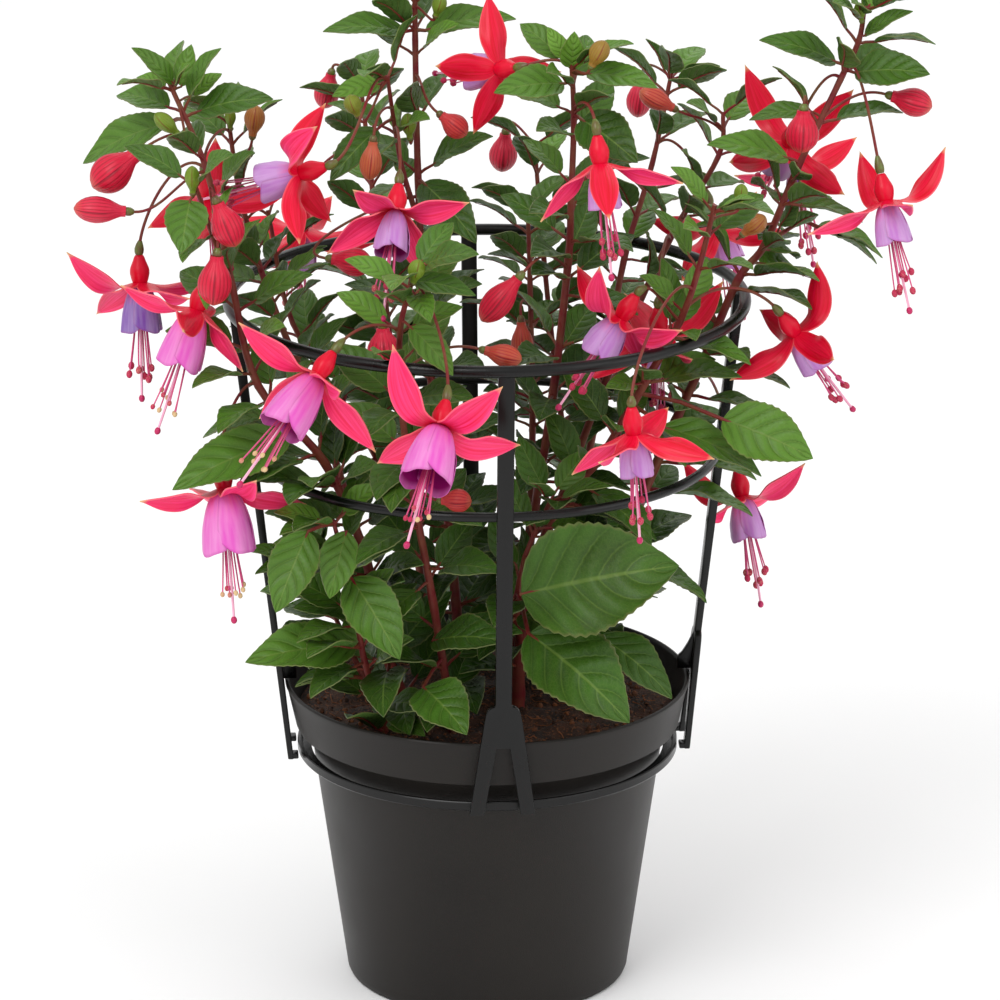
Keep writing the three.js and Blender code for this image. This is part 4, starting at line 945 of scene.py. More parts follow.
def leaf_finish(settings):
    """Dark green above and paler below, with light veins, a pale rim and a fine net between the veins. Painted shadow
    darkens the grooves beside the veins, and the tone toward the highlight green is partly painted light and painted
    shade: inner leaves darker, outer and top leaves lighter.
    """
    leaf = Finish("fuchsia_leaf", 0.4, 0.26)
    _, away, along = leaf.plan()
    tone, youth, skin = leaf.facts()
    phase = calc("MULTIPLY_ADD", away ** VEIN_BEND, -VEIN_SLANT * VEIN_PAIRS, along * VEIN_PAIRS)
    line = abs(calc("MULTIPLY_ADD", calc("FRACT", phase), 2, -1))
    lateral = line.between(0.84, 0.97) * away.between(0.95, 0.6)
    midrib = away.between(0.055, 0.02)
    net = node(leaf.tree, "ShaderNodeTexVoronoi", {"Vector": leaf.place(), "Scale": 620}, feature="DISTANCE_TO_EDGE")
    net_line = net.between(0.12, 0.02)
    patch = leaf.speckle(42)
    upper = tint(patch.between(0.3, 0.75), settings.leaf_shade, settings.leaf_blade)
    # Painted light and shade: the tone is partly random and partly lower for leaves inside the bush and low down, so
    # inner leaves are painted darker and outer and top leaves lighter toward the highlight green
    upper = tint(tone * 0.8, upper, settings.leaf_highlight)
    upper = tint(youth, upper, settings.young_leaf)
    body = tint(skin, upper, tint(patch, settings.leaf_underside, settings.leaf_blade))
    # Painted shadow: a darker band beside each lateral vein, toward the leaf shade green, stands in for the shade in
    # the quilted grooves
    painted_groove_shadow = line.between(0.45, 0.8) * line.between(0.98, 0.86)
    for share, strength, shade in ((net_line, 0.14, settings.leaf_veins), (painted_groove_shadow, 0.2, settings.leaf_shade),
                                   (lateral, 0.3, settings.leaf_veins), (midrib, 0.62, settings.leaf_veins),
                                   (away.between(0.93, 1), 0.4, settings.leaf_rim)):
        body = tint(share * strength, body, shade)
    veins = calc("MAXIMUM", net_line * 0.35, calc("MAXIMUM", lateral, midrib))
    pillow = line ** 3 * away.between(1, 0.5)
    height = calc("MULTIPLY_ADD", veins, -0.3, leaf.speckle(110) - pillow)
    return leaf.done(body, height, 0.0005, 0.6)


def sepal_finish(settings):
    """Crimson back, pink face, red root, pale green tip and a light rim."""
    sepal = Finish("fuchsia_sepal", 0.36, 0.26)
    across, away, along = sepal.plan()
    tone, tube, skin = sepal.facts()
    vein = sepal.streaks(across, along, tone, 7, 1.3)
    back = tint(vein.between(0.35, 0.7), settings.sepal_back, settings.sepal_root)
    face = tint(vein.between(0.3, 0.75), settings.sepal_face, settings.sepal_back)
    face = tint(along.between(0.25, 0.02), face, settings.sepal_root)
    body = tint(away.between(0.88, 1) * 0.32, tint(skin, back, face), settings.sepal_rim)
    tip = along.between(0.9, 1) * (1 - tube)
    body = tint(tip * 0.85, body, settings.sepal_tip)
    return sepal.done(tint(tube, body, tint(vein, settings.sepal_root, settings.sepal_back)), vein, 0.0003, 0.35)


def petal_finish(name, main, settings):
    """Petal with darker streaks running down from its root."""
    petal = Finish(f"fuchsia_petal_{name}", 0.45, 0.3)
    across, away, along = petal.plan()
    tone, _, skin = petal.facts()
    vein = petal.streaks(across, along, tone, 3.5, 1.2)
    pale = tint(vein.between(0.3, 0.7), main, tuple(mix(x, 1, 0.18) for x in main))
    flushed = tint(vein.between(0.42, 0.6) * along.between(0.45, 0), pale, settings.petal_root)
    outer = tint(along.between(0.12, 0), flushed, settings.petal_root)
    body = tint(skin, outer, tint(along.between(0.86, 1.02), settings.petal_inside, pale))
    edge = calc("MAXIMUM", away.between(0.93, 1), along.between(0.95, 1))
    return petal.done(tint(edge * 0.35, body, settings.petal_inside), vein, 0.0003, 0.4)


def strand_finish(settings):
    strand = Finish("fuchsia_stamen", 0.4)
    _, _, along = strand.plan()
    body = tint(along, settings.stamen_root, settings.stamen)
    return strand.done(tint(strand.facts()[1] * 0.8, body, settings.pistil))


def anther_finish(settings):
    anther = Finish("fuchsia_anther", 0.7)
    tone = anther.facts()[0]
    grains = anther.speckle(2600, 1)
    body = tint(tone.between(0.35, 0.75), settings.anther, settings.pollen)
    dust = grains.between(0.5, 0.7) * tone.between(0.05, 0.6)
    return anther.done(tint(dust, body, settings.pollen), grains, 0.0003, 0.8)


def bud_finish(settings):
    """Closed sepals: four dark seams with ribs between, greener where the bud is young."""
    bud = Finish("fuchsia_bud", 0.38, 0.3)
    _, _, along = bud.plan()
    around = split(node(bud.tree, "ShaderNodeUVMap", uv_map=PLAN))[0]
    tone, green, _ = bud.facts()
    turn = calc("FRACT", calc("MULTIPLY_ADD", around, 4, 0.5))
    seam = abs(turn - 0.5).between(0.045, 0.012)
    rib = calc("SINE", around * (40 * math.pi)).between(0.2, 0.95)
    swollen = along.between(0.25, 0.4)
    body = tint(tone, settings.bud_shade, settings.bud)
    body = tint(rib * swollen * 0.75, body, settings.bud_ribs)
    body = tint(along.between(0.8, 1) * 0.5, body, settings.bud_tip)
    body = tint(green * (1 - rib * (1 - green)), body, settings.young_bud)
    body = tint(seam * swollen * 0.8, body, settings.bud_seams)
    return bud.done(body, 1 - calc("MAXIMUM", seam, rib * 0.4), 0.0004, 0.6)


def ovary_finish(settings):
    ovary = Finish("fuchsia_ovary", 0.35)
    patch = ovary.speckle(300)
    return ovary.done(tint(patch.between(0.35, 0.7), settings.ovary, settings.ovary_flush), patch, 0.0004, 0.4)


def stem_finish(settings):
    """Reddish bark: brown and woody where the first fact is 1, crimson on young stalks."""
    stem = Finish("fuchsia_stem", 0.5, 0.3)
    patch = stem.speckle(160, 5)
    young = tint(patch.between(0.35, 0.7), settings.young_stalk, settings.stalk_patches)
    old = tint(patch.between(0.3, 0.7), settings.old_wood, settings.wood_patches)
    return stem.done(tint(stem.facts()[0], young, old), patch, 0.0005, 0.6)


def plastic_finish(name, settings, roughness, grain, relief, specular):
    """Moulded plastic: fine orange-peel grain and faint scuffs."""
    plastic = Finish(name, roughness, specular)
    scuff = plastic.speckle(18, 6)
    rough = calc("MULTIPLY_ADD", scuff.between(0.3, 0.8), 0.14, roughness - 0.05)
    plastic.tree.links.new(rough.socket, plastic.inputs["Roughness"])
    body = tint(scuff.between(0.35, 0.8), settings.plastic, settings.worn_plastic)
    return plastic.done(body, plastic.speckle(grain, 2), relief, 0.5)


def compost_finish(settings):
    compost = Finish("damp_compost", 0.85)
    grain = compost.speckle(900)
    body = tint(compost.speckle(90, 6).between(0.35, 0.7), settings.damp_compost, settings.compost)
    body = tint(compost.facts()[0], body, settings.fibres_and_crumbs)
    return compost.done(tint(grain.between(0.55, 0.75), body, settings.fibres_and_crumbs), grain, 0.0012, 0.9)


def length(name, text, default):
    return FloatProperty(name=name, description=text, default=default, min=0, unit="LENGTH", subtype="DISTANCE")


def number(name, text, default, subtype="NONE"):
    return FloatProperty(name=name, description=text, default=default, min=0, subtype=subtype)


def count(name, text, default, least=0):
    return IntProperty(name=name, description=text, default=default, min=least)


def add_paints(group, **colours):
    """Adds a colour setting for each name, from its 0 to 255 values."""
    for key, values in colours.items():
        words = key.replace("_", " ")
        group.__annotations__[key] = FloatVectorProperty(
            name=words.capitalize(), description=f"Colour of the {words}", default=srgb(*values), min=0, max=1,
            subtype="COLOR")


class PotSettings(bpy.types.PropertyGroup):
    rim_radius: length("Rim radius", "Outside radius of the rim", 0.085)
    rim_height: length("Rim height", "Height of the rim above the base", 0.131)
    base_radius: length("Base radius", "Outside radius of the base", 0.0596)
    wall: length("Wall", "Thickness of the wall", 0.0018)
    crumbs: count("Crumbs", "Loose crumbs on the compost", 900)
    fibres: count("Fibres", "Loose fibres on the compost", 160)


class CageSettings(bpy.types.PropertyGroup):
    top_radius: length("Top ring", "Radius of the top ring's middle line", 0.1063)
    top_height: length("Top ring height", "Height of the top ring above the base", 0.2954)
    top_tube: length("Top ring tube", "Radius of the top ring's tube", 0.0025)
    mid_radius: length("Middle ring", "Radius of the middle ring's middle line", 0.0953)
    mid_height: length("Middle ring height", "Height of the middle ring above the base", 0.2315)
    mid_tube: length("Middle ring tube", "Radius of the middle ring's tube", 0.002)
    strip_width: length("Strip width", "Width of an upright above its shoulders", 0.0066)
    edge: length("Edge radius", "Rounding of the strips' edges", 0.0005)


class FoliageSettings(bpy.types.PropertyGroup):
    thickness: length("Leaf thickness", "Thickness of a leaf", 0.0004)
    pair_spacing: length("Pair spacing", "Distance between extra pairs of leaves along a stem", 0.0215)
    inner_spacing: length("Inner spacing", "Distance between the pairs that fill the inside of the bush", 0.024)
    filler_size: number("Extra leaf size", "Size of the extra leaves", 0.92)


class BloomSettings(bpy.types.PropertyGroup):
    sepal_thickness: length("Sepal thickness", "Thickness of a sepal", 0.0006)
    petal_thickness: length("Petal thickness", "Thickness of a petal", 0.0003)
    stamen_radius: length("Stamen radius", "Radius of a stamen", 0.0004)
    pistil_radius: length("Pistil radius", "Radius of the pistil", 0.0007)
    stamens: count("Stamens", "Stamens in a bloom", 8, 1)
    sepal_rows: count("Sepal rows", "Faces along a sepal", 22, 4)
    sepal_columns: count("Sepal columns", "Faces across a sepal", 10, 4)
    petal_rows: count("Petal rows", "Faces along a petal", 16, 4)
    petal_columns: count("Petal columns", "Faces across a petal", 16, 4)


class StudioSettings(bpy.types.PropertyGroup):
    distance: length("Camera distance", "Distance from the camera to its aim", 2.363)
    lens: number("Lens", "Focal length on a 36 mm sensor", 204.3)
    elevation: FloatProperty(name="Elevation", description="How far the camera looks down",
                             default=math.radians(18.04), subtype="ANGLE")
    aim: FloatVectorProperty(name="Aim", description="Point that the camera looks at",
                             default=(0.0054, 0, 0.2078), subtype="TRANSLATION", unit="LENGTH")
    key_power: number("Key light", "Power of the key light", 40, "POWER")
    fill_power: number("Fill light", "Power of the fill light and the back light", 12, "POWER")
    sky: number("Sky", "Strength of the light from all round", 0.82)


add_paints(PotSettings, plastic=(20, 16, 13), worn_plastic=(31, 27, 23), compost=(74, 44, 28),
           damp_compost=(26, 17, 12), fibres_and_crumbs=(142, 84, 46))
add_paints(CageSettings, plastic=(5, 5, 5), worn_plastic=(12, 11, 10))
# leaf_shade is the darkest green of random patches and also the painted shadow beside the veins; leaf_highlight is a
# lighter green that also serves as painted light on outer and top leaves
add_paints(FoliageSettings, leaf_shade=(20, 36, 10), leaf_blade=(46, 88, 15), leaf_highlight=(98, 142, 48),
           young_leaf=(112, 156, 52), leaf_underside=(92, 118, 66), leaf_veins=(104, 130, 56),
           leaf_rim=(128, 120, 78), young_stalk=(120, 24, 34), stalk_patches=(112, 74, 44), old_wood=(98, 30, 31),
           wood_patches=(124, 48, 42), bud=(214, 42, 72), bud_shade=(200, 14, 50), bud_ribs=(158, 10, 34),
           bud_tip=(214, 122, 88), young_bud=(110, 134, 38), bud_seams=(122, 16, 34), ovary=(96, 112, 42),
           ovary_flush=(96, 58, 36))
add_paints(BloomSettings, sepal_back=(228, 14, 60), sepal_face=(255, 66, 130), sepal_root=(204, 0, 26),
           sepal_tip=(216, 196, 130), sepal_rim=(246, 150, 150), lavender_petals=(184, 120, 196),
           violet_petals=(214, 86, 184), purple_petals=(116, 72, 160), petal_root=(226, 56, 150),
           petal_inside=(150, 10, 108), stamen=(212, 80, 132), stamen_root=(186, 20, 88), pistil=(250, 186, 212),
           anther=(188, 26, 78), pollen=(216, 184, 136))
add_paints(StudioSettings, floor=(246, 246, 246))


# Pot, compost and cage

class MakePot(bpy.types.Operator):
    """Nursery pot with its stepped collar, rolled rim and drain holes"""
    bl_idname = "fuchsia.pot"
    bl_label = "Pot"

    def execute(self, context):
        settings = context.scene.fuchsia_pot
        rim, top, base = (value * 1000 for value in (settings.rim_radius, settings.rim_height, settings.base_radius))
        wall = settings.wall * 1000
        outline = [
            (0, 0.6), (base - 8, 0.6), (base - 6, 0), (base - 2.6, 0), (base - 0.8, 0.7), (base, 2.6),
            (base + 0.25, 4.6), (NECK_RADIUS - 0.1, COLLAR_BOTTOM - 2.4), (NECK_RADIUS + 0.7, COLLAR_BOTTOM - 1.5),
            (COLLAR_RADIUS - 1.3, COLLAR_BOTTOM - 0.5), (COLLAR_RADIUS - 0.3, COLLAR_BOTTOM - 0.1),
            (COLLAR_RADIUS + 0.1, COLLAR_BOTTOM + 0.7), (rim - 0.7, top - 2.6), (rim - 0.1, top - 1.5),
            (rim, top - 0.7), (rim - 0.5, top - 0.1), (rim - 1.1, top), (rim - wall, top - 0.5),
            (rim - wall - 0.3, top - 1.6), (COLLAR_RADIUS - wall + 0.4, COLLAR_BOTTOM + wall + 1),
            (COLLAR_RADIUS - wall - 0.6, COLLAR_BOTTOM + wall), (NECK_RADIUS - wall, COLLAR_BOTTOM - 1 + wall),
            (base - wall, 5), (base - 4, wall), (0, wall),
        ]
        piece = Piece("nursery_pot")
        piece.add(turned(outline, 128))
        plastic = plastic_finish("pot_plastic", settings, 0.46, 2600, 0.00012, 0.26)
        pot = piece.finish([plastic], ["pot"], sharp=40)
        drills = bmesh.new()
        for index in range(4):
            angle = index * math.pi / 2
            centre = Vector((math.cos(angle) * DRAIN_CIRCLE, math.sin(angle) * DRAIN_CIRCLE, 1)) * MM
            bmesh.ops.create_cone(drills, cap_ends=True, segments=32, radius1=DRAIN_RADIUS * MM,
                                  radius2=DRAIN_RADIUS * MM, depth=6 * MM, matrix=Matrix.Translation(centre))
        bore(pot, drills)
        return {"FINISHED"}


def bore(piece, drills):
    """Cuts the drills out of a piece for good."""
    mesh = bpy.data.meshes.new("drills")
    drills.to_mesh(mesh)
    drills.free()
    cutter = add_object("drills", mesh)
    modifier = piece.modifiers.new("holes", "BOOLEAN")
    modifier.object = cutter
    modifier.solver = "EXACT"
    depsgraph = bpy.context.evaluated_depsgraph_get()
    made = bpy.data.meshes.new_from_object(piece.evaluated_get(depsgraph))
    piece.modifiers.remove(modifier)
    made.name = piece.name
    piece.data = made
    bpy.data.objects.remove(cutter)
    bpy.data.meshes.remove(mesh)


def soil_height(x, y):
    """Height of the compost's crumbly top."""
    bump = 1.3 * math.sin(x * 0.21 + 1) * math.cos(y * 0.17) + 0.9 * math.sin(x * 0.07 - y * 0.31)
    crumble = 1.1 * noise.noise(Vector((x, y, 0)) * 0.16) + 0.6 * noise.noise(Vector((x, y, 7)) * 0.5)
    return SOIL_TOP + bump * ease(79, 60, math.hypot(x, y)) + crumble


class MakeCompost(bpy.types.Operator):
    """Damp compost with loose crumbs and fibres"""
    bl_idname = "fuchsia.compost"
    bl_label = "Compost"

    def execute(self, context):
        settings = context.scene.fuchsia_pot
        wall = settings.wall * 1000 + 0.4
        top_rows, rows = 50, 56
        edge = COLLAR_RADIUS - wall + 1.2
        lower = [(0, edge, SOIL_TOP - 3.5), (0.3, edge - 1.6, COLLAR_BOTTOM + 2.6),
                 (0.5, NECK_RADIUS - wall, COLLAR_BOTTOM + 0.6), (0.9, settings.base_radius * 1000 - wall, 6),
                 (1, 0, wall)]

        def place(u, v):
            angle = 2 * math.pi * (u if u < 1 else 0)
            row = v * rows
            if row <= top_rows:
                radius = edge * row / top_rows
                height = soil_height(radius * math.cos(angle), radius * math.sin(angle))
                height -= 3 * ease(edge - 5, edge, radius)
            else:
                share = (row - top_rows) / (rows - top_rows)
                radius = along_table([(at, r) for at, r, _ in lower], share)
                height = along_table([(at, z) for at, _, z in lower], share)
            return Vector((radius * math.cos(angle), radius * math.sin(angle), height))

        piece = Piece("compost")
        bed = bent_grid(144, rows, place)
        bmesh.ops.recalc_face_normals(bed, faces=bed.faces[:])
        piece.add(bed)
        random = random_from(5)
        for _ in range(settings.crumbs):
            piece.add(crumb(random, edge))
        for _ in range(settings.fibres):
            piece.add(fibre(random, edge))
        piece.finish([compost_finish(settings)], ["soil"], sharp=75)
        return {"FINISHED"}


def on_soil(random, edge):
    radius, angle = (edge - 3) * math.sqrt(random()), 2 * math.pi * random()
    x, y = radius * math.cos(angle), radius * math.sin(angle)
    return Vector((x, y, soil_height(x, y)))


def crumb(random, edge):
    """A crumb of compost half sunk in the bed."""
    bm = new_shell()
    size = mix(0.5, 2.3, random() ** 2.2)
    spin = Euler((6 * random(), 6 * random(), 6 * random())).to_matrix().to_4x4()
    shape = Matrix.Diagonal((size * MM, size * mix(0.5, 1, random()) * MM, size * mix(0.4, 0.8, random()) * MM, 1))
    bmesh.ops.create_icosphere(bm, subdivisions=1, radius=1,
                               matrix=Matrix.Translation(on_soil(random, edge) * MM) @ spin @ shape)
    return mark(bm, (random() ** 3, 0, 0))


def fibre(random, edge):
    """A thin fibre lying on the bed."""
    start = on_soil(random, edge - 8)
    angle, reach = 2 * math.pi * random(), mix(3, 9, random())
    path = []
    for step in range(4):
        x = start.x + math.cos(angle) * reach * step / 3
        y = start.y + math.sin(angle) * reach * step / 3
        path.append(Vector((x, y, soil_height(x, y) + 0.3 + 0.9 * random())))
        angle += 0.5 * random() - 0.25
    return rod(path, [(0, 0.28), (1, 0.16)], 4, (0.3 + 0.7 * random(), 0, 0))


class MakeRings(bpy.types.Operator):
    """The cage's clamp ring and its two round rings"""
    bl_idname = "fuchsia.rings"
    bl_label = "Cage rings"

    def execute(self, context):
        settings = context.scene.fuchsia_cage
        plastic = cage_plastic(settings)
        rounds = [("ring_top", settings.top_radius, settings.top_height, settings.top_tube),
                  ("ring_mid", settings.mid_radius, settings.mid_height, settings.mid_tube)]
        for node_name, radius, height, tube in rounds:
            outline = [((radius + tube * math.cos(angle)) * 1000, (height + tube * math.sin(angle)) * 1000)
                       for angle in (2 * math.pi * index / RING_SIDES for index in range(RING_SIDES))]
            piece = Piece(f"cage_{node_name}")
            piece.add(turned(outline, RING_STEPS))
            piece.finish([plastic], [node_name])
        outline = [(74.2, 100.2), (74.6, 99.8), (79.4, 99.8), (80, 100.4), (80, 103.4), (79.7, 103.8), (78.5, 103.8),
                   (78.2, 103.4), (78.2, 102), (77.8, 101.6), (74.6, 101.6), (74.2, 101.2)]
        piece = Piece("cage_ring_base")
        piece.add(turned(outline, RING_STEPS))
        piece.finish([plastic], ["ring_base"], sharp=35)
        return {"FINISHED"}


@lru_cache(maxsize=None)
def cage_plastic(settings):
    return plastic_finish("cage_plastic", settings, 0.27, 1800, 0.0001, 0.32)


def strip_radius(height):
    """Distance of an upright's middle from the pot's axis."""
    return mix(FOOT_RADIUS, HEAD_RADIUS, (height - FOOT_BOTTOM) / (HEAD_HEIGHT - FOOT_BOTTOM))


def plate(outline, thickness):
    """A flat outline of (y, z) pushed out along x."""
    bm = new_shell()
    face = bm.faces.new([bm.verts.new((-0.5 * thickness, y, z)) for y, z in outline])
    pushed = bmesh.ops.extrude_face_region(bm, geom=[face])
    moved = [item for item in pushed["geom"] if isinstance(item, bmesh.types.BMVert)]
    bmesh.ops.translate(bm, verts=moved, vec=(thickness, 0, 0))
    bmesh.ops.recalc_face_normals(bm, faces=bm.faces[:])
    return bm


def soften(bm, edge):
    """Turns a plate into metres and rounds its edges."""
    for vert in bm.verts:
        vert.co *= MM
    bmesh.ops.bevel(bm, geom=bm.edges[:], offset=edge, segments=2, profile=0.5, affect="EDGES", material=-1,
                    clamp_overlap=True)
    return bm


class MakeUprights(bpy.types.Operator):
    """The cage's four uprights with forked feet, tabs and gussets"""
    bl_idname = "fuchsia.uprights"
    bl_label = "Cage uprights"

    def execute(self, context):
        settings = context.scene.fuchsia_cage
        half, top = settings.strip_width * 500, settings.top_height * 1000
        right = [
            (CROTCH_HALF, CROTCH), (FOOT_HALF - PRONG, FOOT_BOTTOM), (FOOT_HALF, FOOT_BOTTOM),
            (half + 4.6, SHOULDER - 7), (half + 3.9, SHOULDER - 3), (half + 2.9, SHOULDER - 0.6),
            (half + 1.6, SHOULDER + 0.5), (half + 0.2, SHOULDER + 0.9), (half, SHOULDER + 2), (half, top),
        ]
        outline = right + [(-y, z) for y, z in reversed(right)]
        for side, name in enumerate(("right", "back", "left", "front")):
            piece = Piece(f"cage_upright_{name}")
            turn = Matrix.Rotation(CAGE_TURN + side * math.pi / 2, 4, "Z")
            for part in upright_parts(outline, settings.edge):
                bmesh.ops.transform(part, matrix=turn, verts=part.verts[:])
                piece.add(part)
            piece.finish([cage_plastic(settings)], [f"upright_{name}"], sharp=35)
        return {"FINISHED"}


def upright_parts(outline, edge):
    """Strip, two tabs and gusset of the upright on the +X side."""
    strip = plate(outline, 1)
    for vert in strip.verts:
        share = (vert.co.z - FOOT_BOTTOM) / (HEAD_HEIGHT - FOOT_BOTTOM)
        vert.co.x = strip_radius(vert.co.z) + vert.co.x * mix(STRIP_THIN, STRIP_THICK, share)
    parts = [soften(strip, edge)]
    for sign in (-1, 1):
        middle = sign * (FOOT_HALF - PRONG / 2)
        tab = plate([(middle - 2.6, FOOT_BOTTOM + 0.1), (middle + 2.6, FOOT_BOTTOM + 0.1),
                     (middle + 2.6, FOOT_BOTTOM + 2.5), (middle - 2.6, FOOT_BOTTOM + 2.5)], FOOT_RADIUS - TAB_END)
        bmesh.ops.translate(tab, verts=tab.verts[:], vec=((FOOT_RADIUS + TAB_END) / 2, 0, 0))
        parts.append(soften(tab, edge))
    web = [(TAB_END, GUSSET_BOTTOM), (strip_radius(GUSSET_BOTTOM), GUSSET_BOTTOM),
           (strip_radius(GUSSET_TOP), GUSSET_TOP), (87, 147.5), (84.6, 142.5), (82.2, 138.6), (80.6, 137.2),
           (TAB_END, 136)]
    gusset = plate(web, GUSSET_THICK)
    bmesh.ops.rotate(gusset, verts=gusset.verts[:], cent=(0, 0, 0), matrix=Matrix.Rotation(-math.pi / 2, 3, "Z"))
    return [*parts, soften(gusset, edge)]


# Plant

def shoot_stems(shoot):
    """Rods of a shoot's stems, slightly swollen at each stretch's joint."""
    for index, stem in enumerate(SHOOTS[shoot].stems):
        path = stem_path(shoot, index)
        last = len(path) - 1
        radii = []
        for step in range(last + 1):
            share = step / last
            joint = 1.12 if step % STEM_STEPS == 0 and 0 < step < last else 1.0
            radii.append((share, mix(*stem.radii, share ** 0.8) * joint))
        yield rod(path, radii, 10, (1 - 0.75 * ease(0.15, 0.8, share_up(path)), 0, 0))


def share_up(path):
    """How far up the plant a stem begins and ends on average."""
    return (path[0].z + path[-1].z) / 2 / 420


class MakeStems(bpy.types.Operator):
    """Stems, leaf stalks with their midribs, and flower stalks of every shoot"""
    bl_idname = "fuchsia.stems"
    bl_label = "Stems and stalks"

    def execute(self, context):
        foliage = context.scene.fuchsia_foliage
        finish_of_stems = stem_finish(foliage)
        for shoot in SHOOTS:
            piece = Piece(f"shoot_{shoot}_stems")
            for part in shoot_stems(shoot):
                piece.add(part)
            for leaf, _ in leaves_of(shoot):
                piece.add(leaf_stalk(shoot, leaf, foliage.thickness * 1000))
            for path, ovary in bloom_stalks(shoot):
                piece.add(rod(cut(path, 0, 1 - ovary * 0.8, 22), [(0, 0.85), (0.2, 0.6), (1, 0.65)], 7))
            for path, body, _ in bud_stalks(shoot):
                piece.add(rod(cut(path, 0, 1 - body, 20), [(0, 0.8), (0.2, 0.55), (1, 0.6)], 7))
            piece.finish([finish_of_stems], [f"shoot_{shoot}"])
        return {"FINISHED"}


@lru_cache(maxsize=None)
def leaves_of(shoot):
    """A shoot's leaves as (leaf, True where it is in the part's source)."""
    if not FILLED:
        fill_leaves(bpy.context.scene.fuchsia_foliage)
    return FILLED[shoot]


def hides(leaf, blooms):
    """True where a leaf hangs close before an open bloom."""
    points = [leaf.base.lerp(leaf.tip, share) * MM for share in (0.25, 0.5, 0.8)]
    return any(tree.ray_cast(point, VIEW, BEFORE_BLOOM)[0] for tree in blooms for point in points)


def fill_leaves(settings):
    """Adds smaller pairs of leaves along each stem wherever they clear everything else."""
    trees = []
    for mesh in (packed.data for packed in NODES.values()):
        trees.append(BVHTree.FromPolygons([vertex.co for vertex in mesh.vertices],
                                          [tuple(face.vertices) for face in mesh.polygons]))
    blooms = [tree for name, tree in zip(NODES, trees) if name.startswith("bloom")]
    low, high = (Vector(corner) for corner in CAD_BOX)
    for shoot, (seed, stems) in SHOOTS.items():
        FILLED[shoot] = [(leaf, True) for leaf in source_leaves(shoot)]
        FILLED[shoot] += [(shown_leaf(wanted, 0), False) for wanted in SMALL_LEAVES if wanted[0] == shoot]
        random = random_from(seed + 900)
        for stem in stems:
            run = run_of([Vector(point) for point in stem.points])
            grown = stem._replace(leaves=(stem.leaves[0] * 0.86, max(stem.leaves[1], 28)))
            added = []
            for spacing, first, top in ((settings.pair_spacing, 0.14, 500), (settings.inner_spacing, 0.2, 310)):
                nodes = max(2, round(run / (spacing * 1000)))
                pairs = paired_leaves(grown, random, nodes, first, 1.0, settings.filler_size)
                added += [leaf for leaf in pairs if leaf.tip.z < top]
            for leaf in added:
                for change in LEAF_TRIES:
                    moved = leaf_try(leaf, *change)
                    if not all(low[axis] < moved.tip[axis] * MM < high[axis] for axis in range(3)):
                        continue
                    blade = leaf_blade(moved, 4, 6, (0, 0, 0), 0, False)
                    tree = BVHTree.FromBMesh(blade)
                    blade.free()
                    if not any(tree.overlap(other) for other in trees) and not hides(moved, blooms):
                        trees.append(tree)
                        FILLED[shoot].append((moved, False))
                        break


class MakeLeaves(bpy.types.Operator):
    """Leaves of every shoot, with raised veins and saw edges"""
    bl_idname = "fuchsia.leaves"
    bl_label = "Leaves"

    def execute(self, context):
        settings = context.scene.fuchsia_foliage
        material = leaf_finish(settings)
        for shoot, (seed, _) in SHOOTS.items():
            random = random_from(seed + 300)
            piece = Piece(f"shoot_{shoot}_leaves")
            for leaf, own in leaves_of(shoot):
                span = (leaf.tip - leaf.base).length
                along = max(12, min(34, round(span / 1.5)))
                youth = ease(30, 11, span) * mix(0.5, 1, random())
                middle = leaf.base.lerp(leaf.tip, 0.5)
                # Painted shade: leaves near the pot's axis and low in the bush get a lower tone and are painted
                # darker; outer and top leaves get painted light
                light = max(ease(45, 115, math.hypot(middle.x, middle.y)), ease(330, 410, middle.z))
                tone = mix(0.3, 1, random()) * mix(0.15, 1, light)
                piece.add(leaf_blade(leaf, 12 if own else 8, along, (tone, youth, 0), settings.thickness * 1000))
            piece.finish([material], [f"shoot_{shoot}"], sharp=55)
        return {"FINISHED"}


def bud_ribs(angle, at):
    return 1 + 0.06 * math.cos(4 * angle) * ease(0.25, 0.5, at)


class MakeBuds(bpy.types.Operator):
    """Closed buds, and the ovaries of buds and blooms"""
    bl_idname = "fuchsia.buds"
    bl_label = "Buds and ovaries"

    def execute(self, context):
        foliage = context.scene.fuchsia_foliage
        materials = [bud_finish(foliage), ovary_finish(foliage)]
        for shoot, (seed, _) in SHOOTS.items():
            random = random_from(seed + 600)
            buds, blooms = bud_stalks(shoot), bloom_stalks(shoot)
            if not buds and not blooms:
                continue
            piece = Piece(f"shoot_{shoot}_buds")
            for path, body, radius in buds:
                swell = [(at, max(share * radius, 0.3)) for at, share in BUD_PROFILE]
                green = ease(5.2, 3.2, radius)
                piece.add(rod(cut(path, 1 - body * 0.86, 1, 24), swell, 24, (random(), green, 0), bud_ribs))
                scale = 0.55 + 0.11 * radius
                ovary = [(at, share * scale) for at, share in BUD_OVARY]
                piece.add(rod(cut(path, 1 - body, 1 - body * 0.82, 7), ovary, 10), 1)
            for path, ovary in blooms:
                piece.add(rod(cut(path, 1 - ovary, 1, 8), BLOOM_OVARY, 12), 1)
            piece.finish(materials, [f"shoot_{shoot}"])
        return {"FINISHED"}


def bloom_names():
    for index, bloom in enumerate(BLOOMS, 1):
        yield f"bloom_{index:02d}", bloom


class MakeSepals(bpy.types.Operator):
    """Tube and four sepals of every bloom"""
    bl_idname = "fuchsia.sepals"
    bl_label = "Sepals"

    def execute(self, context):
        settings = context.scene.fuchsia_bloom
        material = sepal_finish(settings)
        for name, bloom in bloom_names():
            piece = Piece(f"{name}_sepals")
            piece.add(calyx_tube(bloom))
            for index in range(4):
                piece.add(sepal(bloom, index, settings))
            piece.finish([material], [f"{name}_calyx"], sharp=60)
        return {"FINISHED"}


